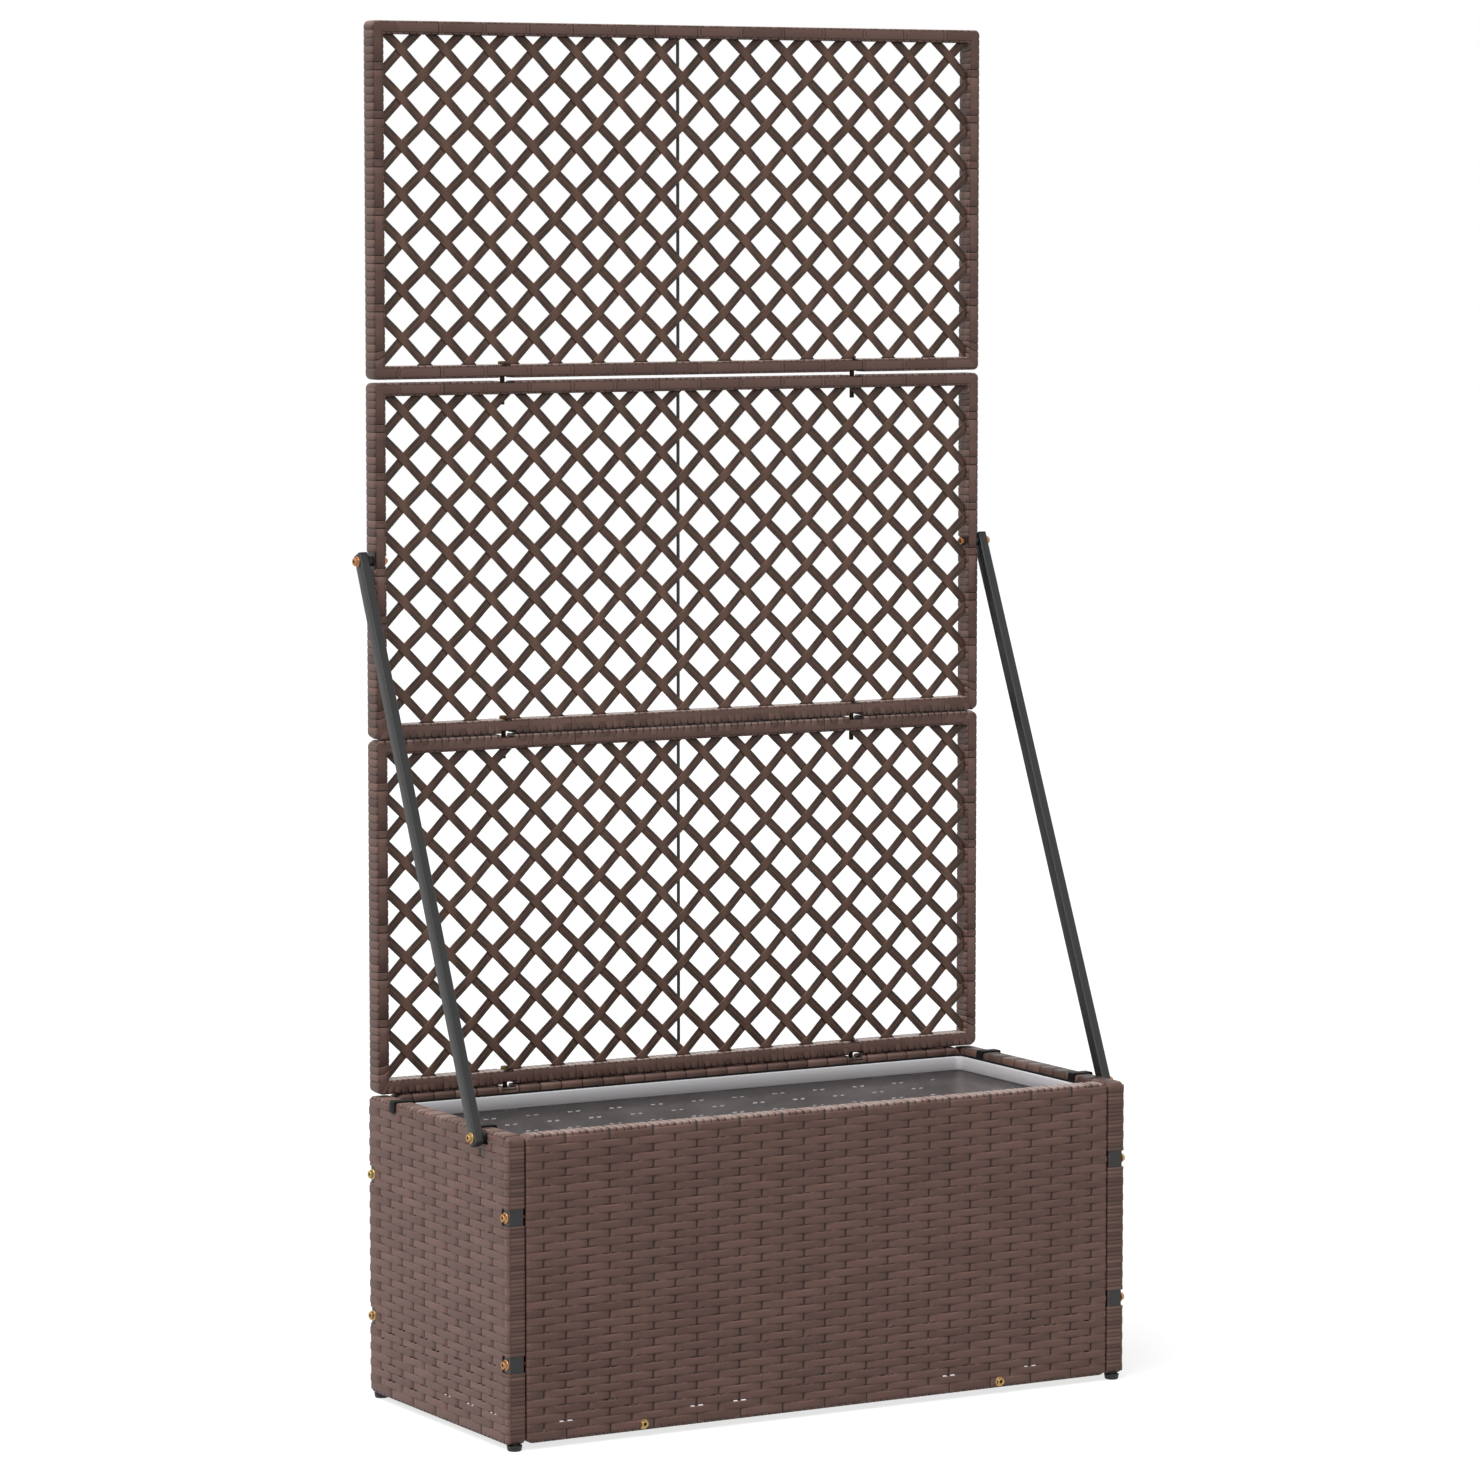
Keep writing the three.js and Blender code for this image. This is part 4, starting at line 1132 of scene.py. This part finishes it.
for side, sx in (("left", -1), ("right", 1)):
    low, high = -strut_end, strut_span + strut_end
    tube = [(0.25, low), (0, low + 0.25), (0, high - 0.25), (0.25, high)]
    tube += [(strut_wall, high), (strut_wall, low)]
    piece = add_joined(f"{side}_strut_tube", [on_strut(stack(tube), sx)], wrap_rows=True)
    finish_piece(piece, black_coat, "planter", "steel", f"{side}_strut")
    for end, sign, at in (("lower", -1, low), ("upper", 1, high)):
        rows = [(3.6, 1.9), (1.4, 1.85), (0.5, 1.5), (0.1, 0.9), (0.1, 0.35), (1.5, 0.3)]
        rows += [(1.5, -3.0), (4.0, -3.0)]
        rows = [(inset, at + sign * y) for inset, y in rows]
        grid = stack(rows if sign < 0 else rows[::-1])
        piece = add_joined(f"{side}_strut_{end}_plug", [on_strut(grid, sx)])
        finish_piece(piece, black_moulding, "planter", "black_plastic", f"{side}_strut_{end}_cap")
    for end, start_x, (y, z) in (("foot", side_bolt_x, strut_foot), ("top", trellis_side_x, strut_top)):
        start, stop = start_x + 0.2, strut_outer_x - strut_thick - 0.15
        ring = [(3.4, stop), (5.6, stop), (6.0, stop - 0.4), (6.0, start + 0.4), (5.6, start), (3.4, start)]
        grid = facing(revolved(ring), (0.0, y, z), (sx, 0, 0))
        piece = add_joined(f"{side}_strut_{end}_sleeve", [grid], wrap_rows=True)
        finish_piece(piece, black_moulding, "planter", "black_plastic", f"{side}_strut_{end}_spacer")

# ---------------------------------------------------------------- the feet
# Black moulded glides under the four corners. Each has a flat sole and a taper up to its rim, and
# its stem is pushed up into the upright tube of a side panel.

corner_x = 407.8
glide = [
    (0.05, 12.0), (3.6, 12.0), (4.0, 11.5), (4.0, 6.7), (8.5, 6.7), (8.95, 6.3), (9.0, 5.6),
    (8.2, 1.2), (7.9, 0.5), (7.3, 0.1), (6.6, 0.0), (0.05, 0.0),
]
for side, sx in (("left", -1), ("right", 1)):
    for end, sy in (("front", -1), ("back", 1)):
        place = (sx * corner_x, sy * corner_y, 0.0)
        piece = add_joined(f"{end}_{side}_glide", [facing(revolved(glide), place, (0, 0, 1))])
        finish_piece(piece, black_moulding, "planter", "black_plastic", f"{end}_{side}_foot")

# ---------------------------------------------------------------- the trellis rods
# A thin round steel bar stands behind the middle of each lattice and keeps it from bulging. It is
# welded between the frame's two rails and coated with them.

rod_place = (-4.0, 166.9)
rod_radius = 2.0
rod_end = 14.65
low, high = rod_end, trellis_height - rod_end
bar = [(0.05, high), (1.7, high), (rod_radius, high - 0.3), (rod_radius, low + 0.3), (1.7, low), (0.05, low)]
for tier, lift in trellis_lifts.items():
    grid = facing(revolved(bar, count=20), (*rod_place, lift), (0, 0, 1))
    piece = add_joined(f"trellis_{tier}_stay", [grid])
    finish_piece(piece, black_coat, "planter", "steel", f"trellis_{tier}_rod")

# ---------------------------------------------------------------- the bars under the liner
# Two flat steel bars cross the box from the front panel to the back one. Their ends are bent down
# and bolted to the insides of the bottom rails, and the liner stands on them.


def strap(path, width, thickness, edge=0.35):
    """A flat bar: its rounded section carried along a bent path in a plane, mitred at each bend.

    point = path + thickness part along the path's normal / cos(half the bend) + width part.
    """
    path = np.asarray(path, float)
    run = np.diff(path, axis=0)
    run /= np.linalg.norm(run, axis=1)[:, None]
    before = np.vstack([run[:1], run])
    after = np.vstack([run, run[-1:]])
    tangent = before + after
    tangent /= np.linalg.norm(tangent, axis=1)[:, None]
    stretch = 1 / np.einsum("ij,ij->i", tangent, before)
    normal = np.stack([-tangent[:, 1], tangent[:, 0]], -1) * stretch[:, None]
    section, _ = rounded_section(-width / 2, width / 2, thickness / 2, edge, 2)
    plane = path[:, None, :] + section[None, :, 1:2] * normal[:, None, :]
    across = np.repeat(section[None, :, :1], len(path), 0)
    return np.concatenate([plane, across], -1)


def bend(centre, radius, start, stop, steps=5):
    """Points on an arc, by angles in quarter turns."""
    angle = np.linspace(start, stop, steps) * math.pi / 2
    return [(centre[0] + radius * math.cos(a), centre[1] + radius * math.sin(a)) for a in angle]


bar_width, bar_thick, bar_bend = 25.0, 3.0, 3.0
bar_y, bar_z, bar_low = 153.5, 22.5, 9.0
for side, sx in (("left", -1), ("right", 1)):
    path = [(-bar_y, bar_low)] + bend((-bar_y + bar_bend, bar_z - bar_bend), bar_bend, 2, 1)
    path += bend((bar_y - bar_bend, bar_z - bar_bend), bar_bend, 1, 0) + [(bar_y, bar_low)]
    points = strap(path, bar_width, bar_thick)
    placed = np.stack([sx * bar_x + points[..., 2], points[..., 0], points[..., 1]], -1)
    piece = add_joined(f"{side}_bar", [placed])
    finish_piece(piece, black_coat, "planter", "steel", f"{side}_base_bar")

# ---------------------------------------------------------------- the liner's hoop
# Flat steel on edge, bent to a loop that fits inside the box, with four hooks that lie over the
# side panels' rims. The liner hangs inside it and the two lift out together.

hoop_width, hoop_depth, hoop_corner = 788.6, 306.6, 14.0
hoop_thick, hoop_low, hoop_high = 2.5, 342.0, 357.0
hook_in, hook_out, hook_over = 394.8, 421.2, 365.1
hook_tip_in, hook_tip_out = 349.5, 352.0
hook_width, hook_thick, hook_bend = 13.0, 1.6, 1.3
hook_places = (-98.0, 111.0)


def hoop_ring(width, depth, corner, section, spacing):
    """A closed section of (inset, z) carried round a rectangle with round corners."""
    rail_lines, upright_lines = np.arange(-width / 2, width / 2, spacing), np.arange(0, depth, spacing)
    places = frame_places(width, depth, corner, rail_lines, upright_lines, [0.0], {})
    inset, z = [np.repeat(section[None, :, part], len(places[0]), 0) for part in (0, 1)]
    flat = around_frame(width, depth, corner, places, inset)
    return np.stack([flat[..., 0], flat[..., 1] - depth / 2, z], -1)


matt_black = coat_material("matt black coat", (0.005, 0.005, 0.005, 1), 0.6, 1400.0, 0.0001, gloss=0.15)
middle = (hoop_low + hoop_high) / 2
section, _ = rounded_section(0, hoop_thick, (hoop_high - hoop_low) / 2, 0.6, 2)
ring = hoop_ring(hoop_width, hoop_depth, hoop_corner, section[::-1] + np.array([0, middle]), 60.0)
hoop = add_joined("hoop_ring", [ring], wrap_rows=True)
finish_piece(hoop, matt_black, "liner", "steel", "liner_hoop")
hooks = []
for sx in (-1, 1):
    for y in hook_places:
        path = [(hook_in, hook_tip_in)] + bend((hook_in + hook_bend, hook_over - hook_bend), hook_bend, 2, 1)
        path += bend((hook_out - hook_bend, hook_over - hook_bend), hook_bend, 1, 0)
        points = strap(path + [(hook_out, hook_tip_out)], hook_width, hook_thick)
        hooks.append(np.stack([sx * points[..., 0], y - sx * points[..., 2], points[..., 1]], -1))
piece = add_joined("hoop_hooks", hooks)
finish_piece(piece, matt_black, "liner", "steel", "liner_hoop")

# ---------------------------------------------------------------- the liner
# A tub of thin clear-grey sheet, welded at the corners, with a paler doubled hem round its mouth.
# The sheet hangs a little loose, so its walls ripple, and the weave shows through it.

liner_width, liner_depth, liner_corner = 783.0, 301.0, 11.5
liner_floor, liner_top = 24.3, 355.0
liner_wall, hem_thick, hem_height, floor_edge = 1.2, 3.0, 17.0, 8.0
wall_rows = 22
wall_step = 9.0
slack_inset, ripple_share = 1.2, 0.5
floor_rings = np.array([0.02, 0.3, 0.6, 0.97])

rail_lines = np.arange(-liner_width / 2, liner_width / 2, wall_step)
upright_lines = np.arange(0, liner_depth, wall_step)
liner_places = frame_places(
    liner_width, liner_depth, liner_corner, rail_lines, upright_lines, [0.0], {}
)
floor_turn = np.linspace(0, math.pi / 2, 5)
hem_low = liner_top - hem_height
outer = [
    (floor_edge * (1 - math.sin(a)), liner_floor + floor_edge * (1 - math.cos(a))) for a in floor_turn
]
outer += [(0.0, z) for z in np.linspace(liner_floor + floor_edge, hem_low, wall_rows)[1:]]
outer += [(0.0, liner_top - 1.5), (0.45, liner_top - 0.45), (1.5, liner_top), (2.55, liner_top - 0.45)]
inner = [(hem_thick, liner_top - 1.5), (hem_thick, hem_low + 0.8), (hem_thick - 0.5, hem_low)]
inner += [(liner_wall, hem_low - 0.3)]
inner += [(liner_wall, z) for z in np.linspace(hem_low, liner_floor + floor_edge, wall_rows)[1:]]
inner_radius, inner_floor = floor_edge - liner_wall, liner_floor + liner_wall
inner += [
    (liner_wall + inner_radius * (1 - math.sin(a)), inner_floor + inner_radius * (1 - math.cos(a)))
    for a in floor_turn[::-1][1:]
]
profile = np.array(outer + inner)
count = len(liner_places[0])
inset, z = [np.repeat(profile[None, :, part], count, 0) for part in (0, 1)]
flat = around_frame(liner_width, liner_depth, liner_corner, liner_places, inset)
steps = np.linalg.norm(np.diff(flat[:, 0], axis=0), axis=1)
along = np.concatenate([[0], np.cumsum(steps)])[:, None]
slack = np.clip((z - liner_floor - 12) / 60, 0, 1) * np.clip((hem_low - 2 - z) / 40, 0, 1)
ripple = 1.1 * np.sin(along / 31 + z / 60) + 0.8 * np.sin(along / 17 - z / 35 + 1.0)
ripple = ripple + 0.5 * np.sin(along / 8.3)
inset = inset - slack * (slack_inset + ripple_share * ripple)
flat = around_frame(liner_width, liner_depth, liner_corner, liner_places, inset)
walls = np.stack([flat[..., 0], flat[..., 1] - liner_depth / 2, z], -1)


def floor_rows(edge, shares):
    """The floor's edge drawn in towards the middle, a row for each share of its reach."""
    return edge[:, None, :] * np.stack([shares, shares, np.ones(len(shares))], -1)


floors = floor_rows(walls[:, 0], floor_rings), floor_rows(walls[:, -1], floor_rings[::-1])
points = np.concatenate([floors[0], walls, floors[1]], 1)
on_floor = np.zeros(len(floor_rings))
hem_mark = np.concatenate([on_floor, (profile[:, 1] > hem_low - 0.2).astype(float), on_floor])
hem_mark = np.repeat(hem_mark[None, :], count, 0)
# rows run down the profile and columns round the tub, so that the faces point outwards
points, faces = join_grids([np.swapaxes(points, 0, 1)[:, ::-1]])
liner_piece = put_mesh("liner_tub", points, faces, marks={"hem": hem_mark.T[:, ::-1]})


def liner_material():
    """Grey sheet, clear enough to see the weave through, and a pale hem with fine lines round it."""
    made, tree, shader = new_material("liner sheet")
    hem = point_mark(tree, "hem")
    place = add_node(tree, "ShaderNodeTexCoord").outputs["Object"]
    streaks = noise(tree, stretched(tree, place, (9.0, 9.0, 700.0)))
    haze = noise(tree, stretched(tree, place, (14.0, 14.0, 45.0)), detail=4.0)
    pale = blended(tree, streaks, (0.55, 0.54, 0.555, 1), (0.66, 0.65, 0.67, 1))
    grey = blended(tree, haze, (0.26, 0.235, 0.235, 1), (0.52, 0.475, 0.475, 1))
    set_inputs(tree, shader, {
        "Base Color": blended(tree, hem, grey, pale),
        "Alpha": calculated(tree, "MAXIMUM", ranged(tree, haze, 0.42, 0.66), hem),
        "Roughness": ranged(tree, streaks, 0.28, 0.5),
        "Normal": bumped(tree, streaks, 0.3, 0.0002),
    })
    return made


finish_piece(liner_piece, liner_material(), "liner", "liner_plastic", "liner")

# ---------------------------------------------------------------- sizes and the end
# The imported model's box and the box of all that stands here are found, in metres.

boxes = {"cad": cad_box, "visual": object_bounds()}
{key: [[float(v) for v in corner] for corner in box] for key, box in boxes.items()}
